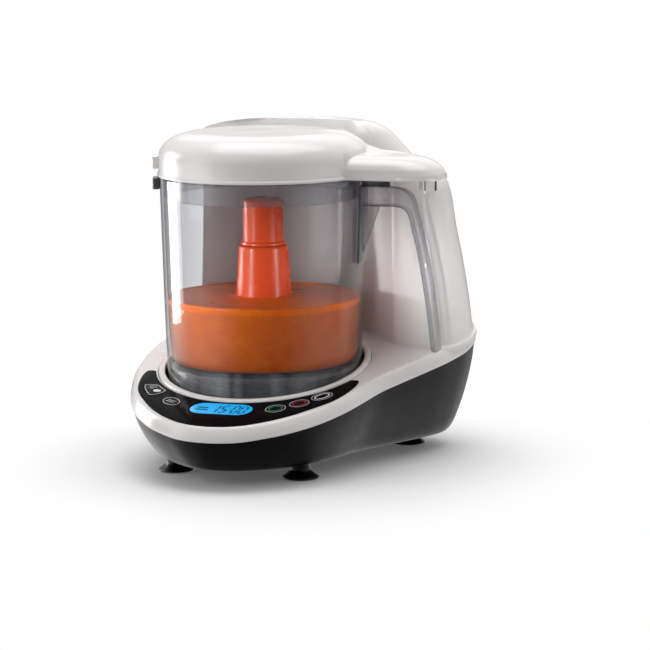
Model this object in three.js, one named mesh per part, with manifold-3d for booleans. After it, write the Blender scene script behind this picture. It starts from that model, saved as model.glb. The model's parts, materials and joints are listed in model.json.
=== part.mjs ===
// Countertop baby food maker: a see-through work bowl with a side handle stands in an inclined deck,
// a steaming tower wraps round the back of the bowl, and a domed lid with a side wing closes it.
// Millimetres, +Z up, front towards -Y, handle towards +X. The bowl axis is vertical.
import * as THREE from 'three';
import { mergeVertices } from 'three/addons/utils/BufferGeometryUtils.js';
import Module from 'manifold-3d';

const wasm = await Module();
wasm.setup();
const { PI, cos, sin, hypot, max } = Math;
const { degToRad } = THREE.MathUtils;

// ---------------------------------------------------------------- driving dimensions
const BOX_CENTRE = [19.4, 2.36];        // middle of the overall box in plan, from the bowl axis
const SLOPE = 0.205;                    // rise of the inclined deck towards the back
const TILT = Math.atan(SLOPE);
const DECK_Z = 64.3;                    // deck plane height on the bowl axis
const PARTING_Z = 55;                   // white/charcoal parting plane height on the bowl axis
const BASE_Z = 10;                      // underside of the housing
const WALL = 2.6;                       // casing wall
const FIT_GAP = 0.25;                   // round the panel and along the parting plane
const RIM_Z = 189.6;                    // work bowl rim
const RIM_RADIUS = 68;
const BOWL_WALL = 2.2;
const LID_Z = RIM_Z + 0.6;              // lid underside
const WING_HALF = 25;                   // lid wing: half width, and middle of its round end
const WING_END = 103;
const SIDE_TAB_ANGLE = degToRad(199.3); // bowl lug and lid tab, on the left

// ---------------------------------------------------------------- solids and geometries
const MERGE_TOLERANCE = 1e-3;

// Merges shared vertices, drops collapsed triangles and makes the faces point outwards.
function tidy(geometry) {
  const loose = geometry.index ? geometry.toNonIndexed() : geometry;
  const bare = new THREE.BufferGeometry();
  bare.setAttribute('position', loose.getAttribute('position'));
  const merged = mergeVertices(bare, MERGE_TOLERANCE);
  const source = merged.index.array;
  const corners = [0, 1, 2].map(() => new THREE.Vector3());
  const [first, second, third] = corners;
  const kept = [];
  let volume = 0;
  for (let i = 0; i < source.length; i += 3) {
    const triangle = [...source.slice(i, i + 3)];
    if (new Set(triangle).size < 3) continue;
    kept.push(...triangle);
    corners.forEach((c, k) => c.fromBufferAttribute(merged.attributes.position, triangle[k]));
    volume += first.dot(second.cross(third)) / 6;
  }
  if (volume < 0) {
    for (let i = 0; i < kept.length; i += 3) {
      [kept[i + 1], kept[i + 2]] = [kept[i + 2], kept[i + 1]];
    }
  }
  merged.setIndex(kept);
  return merged;
}

function toSolid(shape) {
  if (!shape.isBufferGeometry) return shape;
  const { attributes, index } = tidy(shape);
  return new wasm.Manifold(new wasm.Mesh({
    numProp: 3,
    vertProperties: new Float32Array(attributes.position.array),
    triVerts: new Uint32Array(index.array),
  }));
}

function toGeometry(shape) {
  if (shape.isBufferGeometry) return shape;
  const mesh = shape.getMesh();
  const geometry = new THREE.BufferGeometry();
  const positions = new Float32Array(mesh.vertProperties);
  geometry.setAttribute('position', new THREE.BufferAttribute(positions, 3));
  geometry.setIndex(new THREE.BufferAttribute(new Uint32Array(mesh.triVerts), 1));
  return geometry;
}

// these take solids or geometries and give a solid
const cut = (base, ...tools) => tools.reduce((s, tool) => s.subtract(toSolid(tool)), toSolid(base));
const join = (base, ...parts) => parts.reduce((s, part) => s.add(toSolid(part)), toSolid(base));
const meet = (one, other) => toSolid(one).intersect(toSolid(other));

// Turned about the vertical axis; the [radius, z] profile closes on itself or ends on the axis.
function lathe(profile, segments) {
  const endsOnAxis = profile[0][0] === 0 && profile[profile.length - 1][0] === 0;
  const closed = endsOnAxis ? profile : [...profile, profile[0]];
  const points = closed.map(([radius, z]) => new THREE.Vector2(radius, z));
  return new THREE.LatheGeometry(points, segments).rotateX(PI / 2);
}

function ring(inner, outer, bottom, top, segments) {
  return lathe([[inner, bottom], [outer, bottom], [outer, top], [inner, top]], segments);
}

function disc(radius, bottom, top, segments, x = 0, y = 0) {
  return new THREE.CylinderGeometry(radius, radius, top - bottom, segments)
    .rotateX(PI / 2).translate(x, y, (bottom + top) / 2);
}

// each argument is a [low, high] span
function box(...spans) {
  return new THREE.BoxGeometry(...spans.map(([low, high]) => high - low))
    .translate(...spans.map(([low, high]) => (low + high) / 2));
}

const shapeOf = (points) => new THREE.Shape(points.map(([x, y]) => new THREE.Vector2(x, y)));
const extrude = (points, depth) => (
  new THREE.ExtrudeGeometry(shapeOf(points), { depth, bevelEnabled: false }));
const plate = (points, bottom, top) => extrude(points, top - bottom).translate(0, 0, bottom);
// [x, z] outline, spread evenly to both sides of y = 0
const sideways = (points, half) => extrude(points, 2 * half).rotateX(PI / 2).translate(0, half, 0);

// Closed skin through a stack of rings that all have the same number of points.
function loft(rings) {
  const count = rings[0].length;
  const indices = [];
  for (let k = 0; k + 1 < rings.length; k++) {
    for (let i = 0; i < count; i++) {
      const here = k * count + i;
      const next = k * count + ((i + 1) % count);
      indices.push(here, next, next + count, here, next + count, here + count);
    }
  }
  const cap = (level, facesUp) => {
    const outline = rings[level].map(([x, y]) => new THREE.Vector2(x, y));
    const triangles = THREE.ShapeUtils.triangulateShape(outline, []);
    if (triangles.length !== count - 2) throw new Error(`loft ring ${level} crosses itself`);
    for (const [i, j, k] of triangles) {
      const order = facesUp ? [i, j, k] : [i, k, j];
      indices.push(...order.map((corner) => level * count + corner));
    }
  };
  cap(0, false);
  cap(rings.length - 1, true);
  const geometry = new THREE.BufferGeometry();
  geometry.setAttribute('position', new THREE.Float32BufferAttribute(rings.flat(2), 3));
  geometry.setIndex(indices);
  return geometry;
}

// ---------------------------------------------------------------- plan outlines
function spline(points, steps, closed = true) {
  const vectors = points.map(([x, y]) => new THREE.Vector3(x, y, 0));
  const curve = new THREE.CatmullRomCurve3(vectors, closed, 'centripetal');
  const spaced = curve.getSpacedPoints(steps).map(({ x, y }) => [x, y]);
  return closed ? spaced.slice(0, -1) : spaced;
}

// Each vertex moves along its own normal: inwards on an anticlockwise outline.
function inset(outline, distance) {
  const count = outline.length;
  return outline.map(([x, y], i) => {
    const before = outline[(i + count - 1) % count];
    const after = outline[(i + 1) % count];
    const along = [after[0] - before[0], after[1] - before[1]];
    const length = hypot(...along) || 1;
    return [x - (along[1] / length) * distance, y + (along[0] / length) * distance];
  });
}

function pushOut([x, y], distance) {      // away from the bowl axis
  const scale = 1 + distance / hypot(x, y);
  return [x * scale, y * scale];
}

const mirrored = (points) => points.slice(1).reverse().map(([x, y]) => [-x, y]);
const polar = (radius, angle) => [radius * cos(angle), radius * sin(angle)];
const arc = (radius, startDeg, sweepDeg, steps) => Array.from({ length: steps + 1 }, (_, i) => (
  polar(radius, degToRad(startDeg + sweepDeg * (i / steps)))));

function oval(centreX, centreY, halfLength, halfWidth, turn, count = 14) {
  return Array.from({ length: count }, (_, i) => {
    const angle = (i / count) * 2 * PI;
    const x = halfLength * cos(angle);
    const y = halfWidth * sin(angle);
    return [centreX + x * cos(turn) - y * sin(turn), centreY + x * sin(turn) + y * cos(turn)];
  });
}

const atZ = (outline, z) => outline.map(([x, y]) => [x, y, z]);
const onSlope = (outline, axisZ) => outline.map(([x, y]) => [x, y, axisZ + SLOPE * y]);
// stations are [height, inset]; lay places each inset outline at its height
const insetLoft = (outline, stations, lay = atZ) => (
  loft(stations.map(([height, distance]) => lay(inset(outline, distance), height))));

const deckToBody = new THREE.Matrix4().makeTranslation(0, 0, DECK_Z)
  .multiply(new THREE.Matrix4().makeRotationX(TILT));
const onDeck = (geometry) => geometry.clone().applyMatrix4(deckToBody);
// plate in the deck frame, from an outline given in plan
const deckPlate = (outline, bottom, top) => (
  plate(outline.map(([x, y]) => [x, y / cos(TILT)]), bottom, top));

// ---------------------------------------------------------------- finishes and groups
const finishes = {
  white: { color: 0xece9e6, roughness: 0.28 },
  charcoal: { color: 0x2b2a2e, roughness: 0.5 },
  black: { color: 0x0c0c10, roughness: 0.12 },
  smoke: { color: 0x5a5960, roughness: 0.15 },
  clear: { color: 0x8d8b90, roughness: 0.08 },
  orange: { color: 0xb52a12, roughness: 0.35 },
  blue: { color: 0x1fa6ef, roughness: 0.2 },
  green: { color: 0x1f7f52, roughness: 0.3 },
  red: { color: 0x9a2638, roughness: 0.3 },
  steel: { color: 0xb9bcc0, roughness: 0.25, metalness: 1 },
  alu: { color: 0xa6a9ad, roughness: 0.4, metalness: 1 },
  rubber: { color: 0x17171a, roughness: 0.8 },
  silicone: { color: 0xd9d6d0, roughness: 0.6 },
  board: { color: 0x1e6b3c, roughness: 0.5 },
  brass: { color: 0xb5903f, roughness: 0.35, metalness: 1 },
  water: { color: 0xc9d6de, roughness: 0.1 },
};

const group = new THREE.Group();
const body = new THREE.Group();         // everything, about the bowl axis
const deck = new THREE.Group();         // the inclined control deck
group.add(body);
body.add(deck);
body.position.set(-BOX_CENTRE[0], -BOX_CENTRE[1], 0);
deck.position.set(0, 0, DECK_Z);
deck.rotation.x = TILT;

function piece(name, shape, finish, parent = body) {
  const material = new THREE.MeshStandardMaterial(finishes[finish]);
  const mesh = new THREE.Mesh(toGeometry(shape), material);
  mesh.name = name;
  parent.add(mesh);
}

// ---------------------------------------------------------------- housing outline in plan
// [x, y], front middle round to the right side
const FRONT = [
  [0, -115.5], [20, -112.5], [33, -105.5], [45, -97], [55, -87], [63, -77], [70, -65], [76, -52],
  [81, -38],
];
// [x, y], on from there round the back to the left side
const SIDES_AND_BACK = [
  [87, -20], [96, -2], [107, 18], [118, 40], [124.5, 62], [122.5, 86], [108, 105], [84, 115.5],
  [52, 119.5], [18, 120], [-16, 117], [-45, 107], [-67, 89], [-81, 63], [-87.5, 36], [-89, 10],
  [-86, -20],
];
const housingOutline = spline([...FRONT, ...SIDES_AND_BACK, ...mirrored(FRONT)], 44);

// ---------------------------------------------------------------- tower
// z, then the convex outer run [x, y] from the right corner round the back to the left tip
const TOWER_LEVELS = [
  [60, [[78, 42], [92, 38], [107, 38.5], [118.5, 45], [125, 62], [122.5, 83], [109, 103],
    [84, 114.6], [52, 118.3], [18, 118.6], [-16, 115.2], [-43, 104], [-60, 86], [-67, 60],
    [-64, 42.5]]],
  [90, [[78, 42], [92, 38], [107, 38.5], [117.5, 45.5], [123, 62], [120.5, 81], [107, 100.5],
    [82, 112.8], [51, 116.6], [18, 117], [-15, 113.4], [-40, 102], [-57, 82], [-64.5, 60.5],
    [-62, 43.5]]],
  [128, [[78, 42], [92, 38.4], [106, 39], [114.8, 46], [119, 60], [116, 76.5], [103.5, 96.5],
    [79, 110.8], [50, 115], [18, 115.6], [-14, 111.8], [-38, 100.5], [-54, 81], [-62, 59],
    [-61, 44.8]]],
  [150, [[78, 42], [91, 38.8], [104, 39.4], [112.4, 46], [115.5, 58.5], [112, 74.5], [99.5, 94],
    [77, 109.4], [49, 114], [18, 114.8], [-14, 111], [-37, 99.6], [-52, 80.5], [-60.5, 58.5],
    [-60.6, 45.4]]],
  [176, [[78, 42], [90, 39], [102, 39.8], [110, 46.2], [112, 57.5], [108.2, 71.5], [96.2, 90.5],
    [75, 108], [48, 113], [18, 114], [-14, 110.2], [-36, 98.7], [-50.5, 79.5], [-59.3, 59.5],
    [-60.4, 45.8]]],
  [183, [[77.5, 42.6], [89, 39.8], [100.5, 41], [107.8, 47.4], [109.4, 57.5], [105.6, 71],
    [94, 89.5], [74, 107.4], [48, 112.6], [18, 113.7], [-14, 110], [-36, 98.4], [-50.2, 79.3],
    [-59.2, 60], [-60.4, 45.9]]],
  [187, [[76, 45], [86.5, 42.4], [96.5, 44.2], [102.8, 49.8], [104, 58], [100.4, 70.4],
    [90.5, 87.5], [72.6, 106.4], [47.6, 112.1], [18, 113.4], [-14, 109.7], [-35.7, 98.2],
    [-49.5, 79], [-59, 60.3], [-60.5, 46]]],
  [187.8, [[60, 52], [68, 57], [78, 62], [86, 67], [89.5, 75], [86.5, 88], [79, 98],
    [67, 106.2], [46.6, 111.3], [18, 113], [-14, 109.4], [-35.5, 98], [-49.5, 79], [-59, 60.3],
    [-60.5, 46]]],
  [199, [[59.5, 52.5], [65.5, 57], [72, 62.5], [76.5, 69], [78, 77], [75.5, 87.5], [69, 96.3],
    [60, 103.5], [43.5, 109], [18, 111.3], [-12.6, 108], [-34, 96], [-48, 79], [-59, 61],
    [-60.6, 46.6]]],
  [208, [[58.5, 53.3], [63, 57.5], [67, 63], [69.5, 69.5], [70.2, 77], [67.5, 86], [61.7, 93.6],
    [54, 99.6], [40, 105.2], [18, 108], [-10.5, 105], [-31, 93.5], [-46.5, 77], [-58.5, 59],
    [-61.8, 45.2]]],
  [214.5, [[56.5, 55.3], [59.8, 59], [62.3, 64], [63.5, 70], [63.6, 76.5], [61, 84], [56, 90.4],
    [49, 95.6], [37, 100.6], [17.6, 103.3], [-8, 100.7], [-28, 90], [-43, 74.5], [-56, 58],
    [-61, 46.6]]],
  [218.6, [[53, 58.3], [55.2, 61.5], [56.4, 65.5], [56.8, 70.3], [56.3, 75.6], [53.7, 81.6],
    [49.2, 86.7], [43, 91.1], [33, 95.2], [17, 97.3], [-5, 95.2], [-21, 87], [-37.5, 73],
    [-46.5, 64.5], [-52, 57]]],
  [220.8, [[47.5, 62.8], [48.8, 64.9], [49.3, 67.5], [49.2, 70.6], [48.2, 74.5], [45.6, 78.6],
    [41.4, 82.3], [36, 85.6], [28, 88.6], [16, 90], [-1.5, 88.4], [-14.5, 83.2], [-24, 78.6],
    [-31, 73], [-35, 68]]],
];
const BOWL_SIDE_RADIUS = 75.2;            // concave tower face
const TIP_RADII = [75.4, 79, 82];         // least radius of the last three points, tip first
// the crest leans back from the bowl by up to CREST_LIFT
const CREST_Z = 208;
const CREST_HEIGHT = 12.8;
const CREST_LIFT = 3;

// Concave run from the left tip to the right corner; its radius runs out to meet both ends.
function bowlSideRun(tip, corner, lift) {
  const radius = BOWL_SIDE_RADIUS + lift;
  const startAngle = Math.atan2(tip[1], tip[0]);
  const endAngle = Math.atan2(corner[1], corner[0]);
  const points = [1, 2, 3, 4, 5, 6].map((i) => {
    const t = i / 7;
    const toCorner = max(0, (t - 0.55) / 0.45) ** 2 * (hypot(...corner) - radius);
    const toTip = max(0, (0.18 - t) / 0.18) * (hypot(...tip) - radius);
    return polar(radius + toCorner + toTip, startAngle + (endAngle - startAngle) * t);
  });
  return spline([tip, ...points, corner], 8, false);
}

const towerRings = TOWER_LEVELS.map(([z, points]) => {
  const last = points.length - 1;
  const clear = points.map(([x, y], i) => {   // the left tip stays clear of the bowl and lid
    const scale = max(1, (TIP_RADII[last - i] ?? 0) / hypot(x, y));
    return [x * scale, y * scale];
  });
  const lift = max(0, (z - CREST_Z) / CREST_HEIGHT) ** 2 * CREST_LIFT;
  return { z, outer: spline(clear, 20, false), inner: bowlSideRun(clear[last], clear[0], lift) };
});
const towerOuter = toSolid(loft(towerRings.map(({ z, outer, inner }) => (
  atZ([...outer, ...inner.slice(1, -1)], z)))));

// tower level followed, z in the hollow, wall, z shift of the bowl side
const HOLLOW_STATIONS = [
  [60, 30, 2.8, -10], [90, 90, 2.8, 0], [128, 128, 2.8, 0], [150, 150, 2.8, 0],
  [176, 173, 2.8, 0], [187.8, 182, 3.2, 0], [199, 196.2, 3, 0], [208, 205.2, 3, 0],
  [214.5, 211.7, 4, 10], [218.6, 216, 6, 10],
];
const hollowRings = HOLLOW_STATIONS.map(([level, z, wall, shift]) => {
  const { outer, inner } = towerRings.find((candidate) => candidate.z === level);
  const thickened = inner.map((point) => pushOut(point, WALL + 0.2));
  return {
    outer: atZ(inset([...outer, [-36, 12], [52, 12]], wall), z),
    bowlSide: atZ([...thickened, [70, -20], [-66, -20]].reverse(), z + shift),
  };
});
// inside of the outer run, less the thickened bowl side
const towerHollow = cut(
  loft(hollowRings.map(({ outer }) => outer)),
  loft(hollowRings.map(({ bowlSide }) => bowlSide)),
);

// ---------------------------------------------------------------- control layout
// [x, y] in plan, front middle round to the right end
const PANEL_EDGE = [
  [0, -111.1], [10, -110.2], [20, -107.4], [28, -103.1], [38, -96.1], [48.5, -86.1],
  [55.6, -77.1], [63.5, -66.1], [68.4, -57], [72.2, -45], [74.2, -32], [73.4, -25.5],
  [70.2, -24.6],
];
const panelRight = spline(PANEL_EDGE, 18, false);

function panelOutline(grow) {
  const outer = [...mirrored(panelRight), ...panelRight].map((point) => {
    const [x, y] = pushOut(point, grow);
    return [x, point[1] > -30 ? y + grow : y];  // the ends also grow backwards
  });
  // the inner edge follows the seat; it lengthens by grow in degrees at each end
  return [...outer, ...arc(72.4 - grow, -20.5 + grow, -(139 + 2 * grow), 16)];
}

const DISPLAY = { x: -1, y: -83, halfLength: 20.9, halfWidth: 8.8 };
function displayOutline(grow) {
  const radius = DISPLAY.halfWidth + grow;
  const middle = DISPLAY.halfLength - DISPLAY.halfWidth;
  return [1, -1].flatMap((side) => Array.from({ length: 8 }, (_, i) => {
    const [x, y] = polar(radius, -side * PI / 2 + (i / 7) * PI);
    return [DISPLAY.x + side * middle + x, DISPLAY.y + y];
  }));
}

// clockwise, so a positive inset makes it larger
const cleanOutline = spline([
  [-66, -50.8], [-61, -49.4], [-56.4, -50], [-51.6, -54.6], [-47.4, -59.4], [-50, -65],
  [-55.4, -68], [-61.4, -61.6],
], 14);
const ovalOutline = (x, y, halfLength, halfWidth, turn) => (grow) => (
  oval(x, y, halfLength + grow, halfWidth + grow, turn));
// name, finish, outline for a given growth
const BUTTONS = [
  ['clean_button', 'white', (grow) => inset(cleanOutline, grow)],
  ['blend_button', 'silicone', ovalOutline(-37.6, -76, 8, 5.6, -0.72)],
  ['steam_button', 'green', ovalOutline(34.6, -79.3, 7.4, 6.4, 0.7)],
  ['stop_button', 'red', ovalOutline(47.2, -68.9, 7.4, 6.2, 0.85)],
  ['auto_button', 'white', ovalOutline(58.2, -55.6, 8.4, 6, 1.02)],
];
const BUTTON_GAP = 0.35;
const DISPLAY_GAP = 0.4;
const wells = [...BUTTONS.map(([, , outline]) => outline(BUTTON_GAP)), displayOutline(DISPLAY_GAP)]
  .map((outline) => deckPlate(outline, -8, 3));

// ---------------------------------------------------------------- white housing
// deck band and tower in one moulding; stations are [z on the bowl axis, inset]
const deckOuter = insetLoft(housingOutline,
  [[55.3, 0.1], [57.5, 0.3], [60.2, 1], [62.6, 2.5], [64.3, 4.6]], onSlope);
const deckInner = insetLoft(housingOutline, [[50, 2.7], [57.5, 2.9], [61.6, 5.2]], onSlope);

// steam port in the tower wall, facing the lid
const PORT_ANGLE = degToRad(47);
const PORT_Z = 200;
const atPort = (geometry, distance) => (
  geometry.translate(distance, 0, 0).rotateZ(PORT_ANGLE).translate(0, 0, PORT_Z));
const portBore = atPort(new THREE.CylinderGeometry(5.3, 5.3, 30, 20).rotateZ(PI / 2), 80);

// water filler in the crest of the tower
const FILLER = { centre: [16.5, 87], seatZ: 217.3, headRadius: 9.5, plugRadius: 7.2, gap: 0.4 };
const fillerDisc = (radius, bottom, top, segments) => (
  disc(radius, bottom, top, segments, ...FILLER.centre));
const fillBoss = meet(fillerDisc(12.4, 209, FILLER.seatZ, 28), towerOuter);

const plungerSlot = box([101.4, 105.6], [34, 52.5], [179.9, 183.4]);
const switchPocket = box([95.6, 103.8], [49.8, 57], [165, 183.5]);
const partingZ = (PARTING_Z + FIT_GAP - DECK_Z) * cos(TILT);    // in the deck frame
const hollowed = cut(
  join(deckOuter, towerOuter),
  join(deckInner, towerHollow),
  disc(71.5, 20, 100, 36),
  onDeck(deckPlate(panelOutline(FIT_GAP), -1.1, 6)),
  ...wells.map(onDeck),
);
piece('main_housing', cut(
  join(hollowed, fillBoss),
  portBore,
  fillerDisc(FILLER.headRadius + FILLER.gap, FILLER.seatZ, 230, 28),
  fillerDisc(FILLER.plugRadius + FILLER.gap, 205, 230, 24),
  plungerSlot,
  switchPocket,
  onDeck(box([-200, 200], [-200, 200], [-120, partingZ])),
), 'white');

// ---------------------------------------------------------------- charcoal lower housing
const CORD = { y: 110, z: 57, halfWidth: 8, halfHeight: 5 };
const cordBox = (spanY, grow) => box(
  [-CORD.halfWidth - grow, CORD.halfWidth + grow], spanY,
  [CORD.z - CORD.halfHeight - grow, CORD.z + CORD.halfHeight + grow]);

// stations are [fraction of the height from the base to the parting plane, inset]
const betweenBaseAndParting = (outline, fraction) => outline.map(([x, y]) => (
  [x, y, BASE_Z + (PARTING_Z - BASE_Z + SLOPE * y) * fraction]));
const lowerOuter = insetLoft(housingOutline,
  [[0, 19.5], [0.06, 16.6], [0.25, 11.6], [0.52, 6.4], [0.8, 2.6], [1, 0.9]],
  betweenBaseAndParting);
const lowerInner = insetLoft(housingOutline,
  [[-0.05, 21.4], [0.06, 20.4], [0.25, 15.2], [0.52, 9.6], [0.8, 5.6], [1.06, 3.8]],
  betweenBaseAndParting);
piece('lower_housing', cut(lowerOuter, lowerInner, cordBox([100, 130], 0.3)), 'charcoal');

// ---------------------------------------------------------------- bottom cover, screws and feet
const FEET = {
  front_left: [-43, -55.5],
  front_right: [43, -55.5],
  rear_left: [-44, 70],
  rear_right: [78, 72],
};
const SCREWS = [[-22, -76], [24, -76], [-14, 84], [44, 84]];
const VENT_PITCH = 6;
const VENT_HALF = 1.2;
const FOOT_RADIUS = 12;

const coverOutline = inset(housingOutline, 22.4).filter((_, i) => i % 2 === 0);
const vents = [-2, -1, 0, 1, 2].map((i) => (
  box([-34, -12], [i * VENT_PITCH - VENT_HALF, i * VENT_PITCH + VENT_HALF], [5, 20])));
piece('bottom_cover', cut(
  plate(coverOutline, BASE_Z + 0.4, BASE_Z + 3.2),
  ...Object.values(FEET).map(([x, y]) => disc(4.4, 0, 30, 12, x, y)),
  ...SCREWS.map(([x, y]) => disc(1.95, 0, 30, 10, x, y)),
  ...vents,
), 'charcoal');

const SCREW_PROFILE = [[0, 9], [3.2, 9], [3.2, 10.2], [1.7, 10.2], [1.7, 21.5], [0, 21.5]];
SCREWS.forEach(([x, y], i) => {
  piece(`base_screw_${i + 1}`, lathe(SCREW_PROFILE, 8).translate(x, y, 0), 'steel');
});

const FOOT_PROFILE = [
  [0, 2.4], [9, 0], [FOOT_RADIUS, 0], [FOOT_RADIUS, 0.9], [9.2, 2.9], [6.4, 5.6], [6.4, 10.1],
  [4, 10.1], [4, 13.7], [5.2, 13.7], [4.4, 16.6], [0, 16.6],
];
for (const [place, [x, y]] of Object.entries(FEET)) {
  piece(`foot_${place}`, lathe(FOOT_PROFILE, 14).translate(x, y, 0), 'rubber');
}

// ---------------------------------------------------------------- seat, trimmed to the deck slope
const deckSlab = (bottom, top) => onDeck(box([-120, 120], [-130, 140], [bottom, top]));
piece('seat_ring', meet(ring(66.4, 70.8, 30, 110, 36), deckSlab(-2.6, 1.5)), 'white');
const CUP_PROFILE = [
  [14, 54], [53.5, 54], [53.5, 38], [70.6, 38], [70.6, 100], [67.6, 100], [67.6, 41], [56.5, 41],
  [56.5, 57], [14, 57],
];
piece('seat_cup', meet(lathe(CUP_PROFILE, 30), deckSlab(-60, -2.9)), 'charcoal');

// ---------------------------------------------------------------- panel, display and buttons
piece('control_panel', cut(deckPlate(panelOutline(0), -0.8, 0.7), ...wells), 'black', deck);
piece('display_window', deckPlate(displayOutline(0), -0.9, 0.5), 'blue', deck);
piece('display_module', box([-22, 20], [-94, -75.5], [-6.6, -3.1]), 'steel', deck);

// [x, y] in plan, front middle round to the right end
const BOARD_EDGE = [[0, -104], [20, -100.4], [36, -91], [50, -77.6], [60, -62], [66, -46]];
const boardOutline = [...mirrored(BOARD_EDGE), ...BOARD_EDGE, ...arc(75.6, -36, -108, 10)];
piece('control_board', deckPlate(boardOutline, -9.8, -8.4), 'board', deck);

for (const [name, finish, outline] of BUTTONS) {
  const cap = deckPlate(outline(0), -5.2, 1.1);
  const stem = deckPlate(outline(-3.4), -7.3, -5);
  piece(name, join(cap, stem), finish, deck);
}

// ---------------------------------------------------------------- motor and drive
const SHAFT_RADIUS = 2.6;
const SPINDLE_RADIUS = 3;
const BORE_GAP = 0.15;
const SHAFT_BORE = SHAFT_RADIUS + BORE_GAP;

function lobedOutline(radius) {           // six lobes
  return Array.from({ length: 30 }, (_, i) => {
    const angle = (i / 30) * 2 * PI;
    return polar(radius + 0.9 * cos(6 * angle), angle);
  });
}

const MOTOR_PROFILE = [
  [2.9, 16], [9, 16], [9, 19], [27, 19], [28, 20], [28, 46], [27, 47], [9, 47], [9, 50], [2.9, 50],
];
piece('motor_body', cut(lathe(MOTOR_PROFILE, 24), disc(25.4, 21, 45, 24)), 'steel');
piece('motor_core', ring(SHAFT_BORE, 20, 24, 42, 24), 'steel');
piece('motor_bracket', cut(
  box([-44, 44], [-25, 25], [50.4, 53.6]),
  disc(9.4, 40, 60, 24),
  disc(2.2, 40, 60, 12, -38, 18),
  disc(2.2, 40, 60, 12, 38, -18),
), 'alu');
piece('motor_shaft', disc(SHAFT_RADIUS, 14.6, 60.5, 24), 'steel');
piece('drive_coupling', cut(
  plate(lobedOutline(8), 57.8, 68),
  disc(SHAFT_BORE, 50, 61.5, 24),
  disc(4, 50, 57.8, 20),
), 'black');
piece('bowl_coupling', cut(
  disc(12.6, 60, 72, 24),
  plate(lobedOutline(8.5), 55, 69),
  disc(SPINDLE_RADIUS + BORE_GAP, 60, 80, 24),
), 'black');
piece('blade_spindle', disc(SPINDLE_RADIUS, 69.4, 128, 24), 'steel');

// ---------------------------------------------------------------- work bowl
const BOWL_PROFILE = [
  // underside, skirt and outer wall
  [7.3, 75.6], [14.6, 75.6], [14.6, 63.9], [62.4, 63.9], [62.4, 41.4], [64.6, 41.4], [65, 66],
  [65.6, 90], [66.4, 120], [67.3, 160], [RIM_RADIUS, RIM_Z],
  // inner wall, floor and the raised middle
  [RIM_RADIUS - BOWL_WALL, RIM_Z], [65.1, 160], [64.2, 120], [63.3, 90], [62.4, 74], [61.4, 68.6],
  [59.6, 66.6], [17.2, 66.4], [17.2, 78.2], [7.3, 78.2],
];
const lug = cut(
  box([67.3, 72.6], [-7, 7], [181.5, 189.4]).rotateZ(SIDE_TAB_ANGLE),
  disc(66.9, 150, 200, 44),
);
piece('work_bowl', join(lathe(BOWL_PROFILE, 40), lug), 'clear');
piece('floor_gasket', ring(57.6, 61.8, 60.6, 63.6, 30), 'rubber');
const BUSH_BORE = SPINDLE_RADIUS + 0.3;
piece('spindle_bush', lathe([
  [BUSH_BORE, 72.3], [7, 72.3], [7, 79.2], [8.6, 79.2], [8.6, 80.8], [BUSH_BORE, 80.8],
], 20), 'brass');

// ---------------------------------------------------------------- bowl handle
const HANDLE_HALF = 6.5;
// [x, z], down the side facing the bowl, then up the outside
const HANDLE_OUTLINE = [
  [68.6, 171.2], [86.3, 171.2], [91.7, 171.2], [96.4, 170.6], [99.8, 168.4], [101.8, 164.2],
  [103.8, 155.7], [106.1, 146.5], [109.1, 131.5], [111.8, 114.7], [113.7, 101.6], [115.2, 88],
  [116, 78.5],
  [118.6, 76.4], [121, 79.5], [120.4, 90], [118.9, 102], [116.2, 122.9], [112.9, 140.6],
  [109.5, 156.3], [106.2, 168.7], [104.2, 176.3], [100.8, 181.4], [95.4, 184], [89.3, 184.6],
  [68.6, 184.9],
];
const handleWeb = sideways([[66, 171.5], [66, 137], [69.4, 139.5], [81, 171.5]], 1.6);
const handlePad = sideways(
  [[66, 184.9], [66, 132], [69.2, 134], [70.6, 171], [70.6, 184.9]], 8.5);
const bowlSkin = lathe([[0, 120], [66.75, 120], [67.65, 160], [68.35, 190], [0, 190]], 44);
piece('bowl_handle', cut(
  join(sideways(HANDLE_OUTLINE, HANDLE_HALF), handleWeb, handlePad),
  bowlSkin,
), 'smoke');

// ---------------------------------------------------------------- blade carrier and blades
const BLADE_THICKNESS = 1.4;
const UPPER_TURN = 1.15;
// name, root radius, tip radius, half width, underside z, angle
const BLADES = [
  ['lower_blade_front', 15, 55, 6.4, 86, -PI / 2],
  ['lower_blade_back', 15, 55, 6.4, 86, PI / 2],
  ['upper_blade_left', 13, 47, 5.35, 104, PI + UPPER_TURN],
  ['upper_blade_right', 13, 47, 5.35, 104, UPPER_TURN],
];
// growth of the slot in the hub over the blade
const SLOT = { root: 0.2, tip: 1, side: 0.25, face: 0.15 };

const bladeOutline = (root, tip, half) => [
  [root, -half], [root + 12, -half * 1.15], [tip - 12, -half * 1.5], [tip - 3, -half * 1.1],
  [tip, -half * 0.2], [tip - 5, half * 0.5], [tip - 14, half * 0.75], [root + 10, half],
  [root, half],
];
const bladeSlots = BLADES.map(([name, root, tip, half, z, angle]) => {
  const top = z + BLADE_THICKNESS;
  piece(name, plate(bladeOutline(root, tip, half), z, top).rotateZ(angle), 'steel');
  const slotOutline = bladeOutline(root - SLOT.root, tip + SLOT.tip, half + SLOT.side);
  return plate(slotOutline, z - SLOT.face, top + SLOT.face).rotateZ(angle);
});

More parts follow.
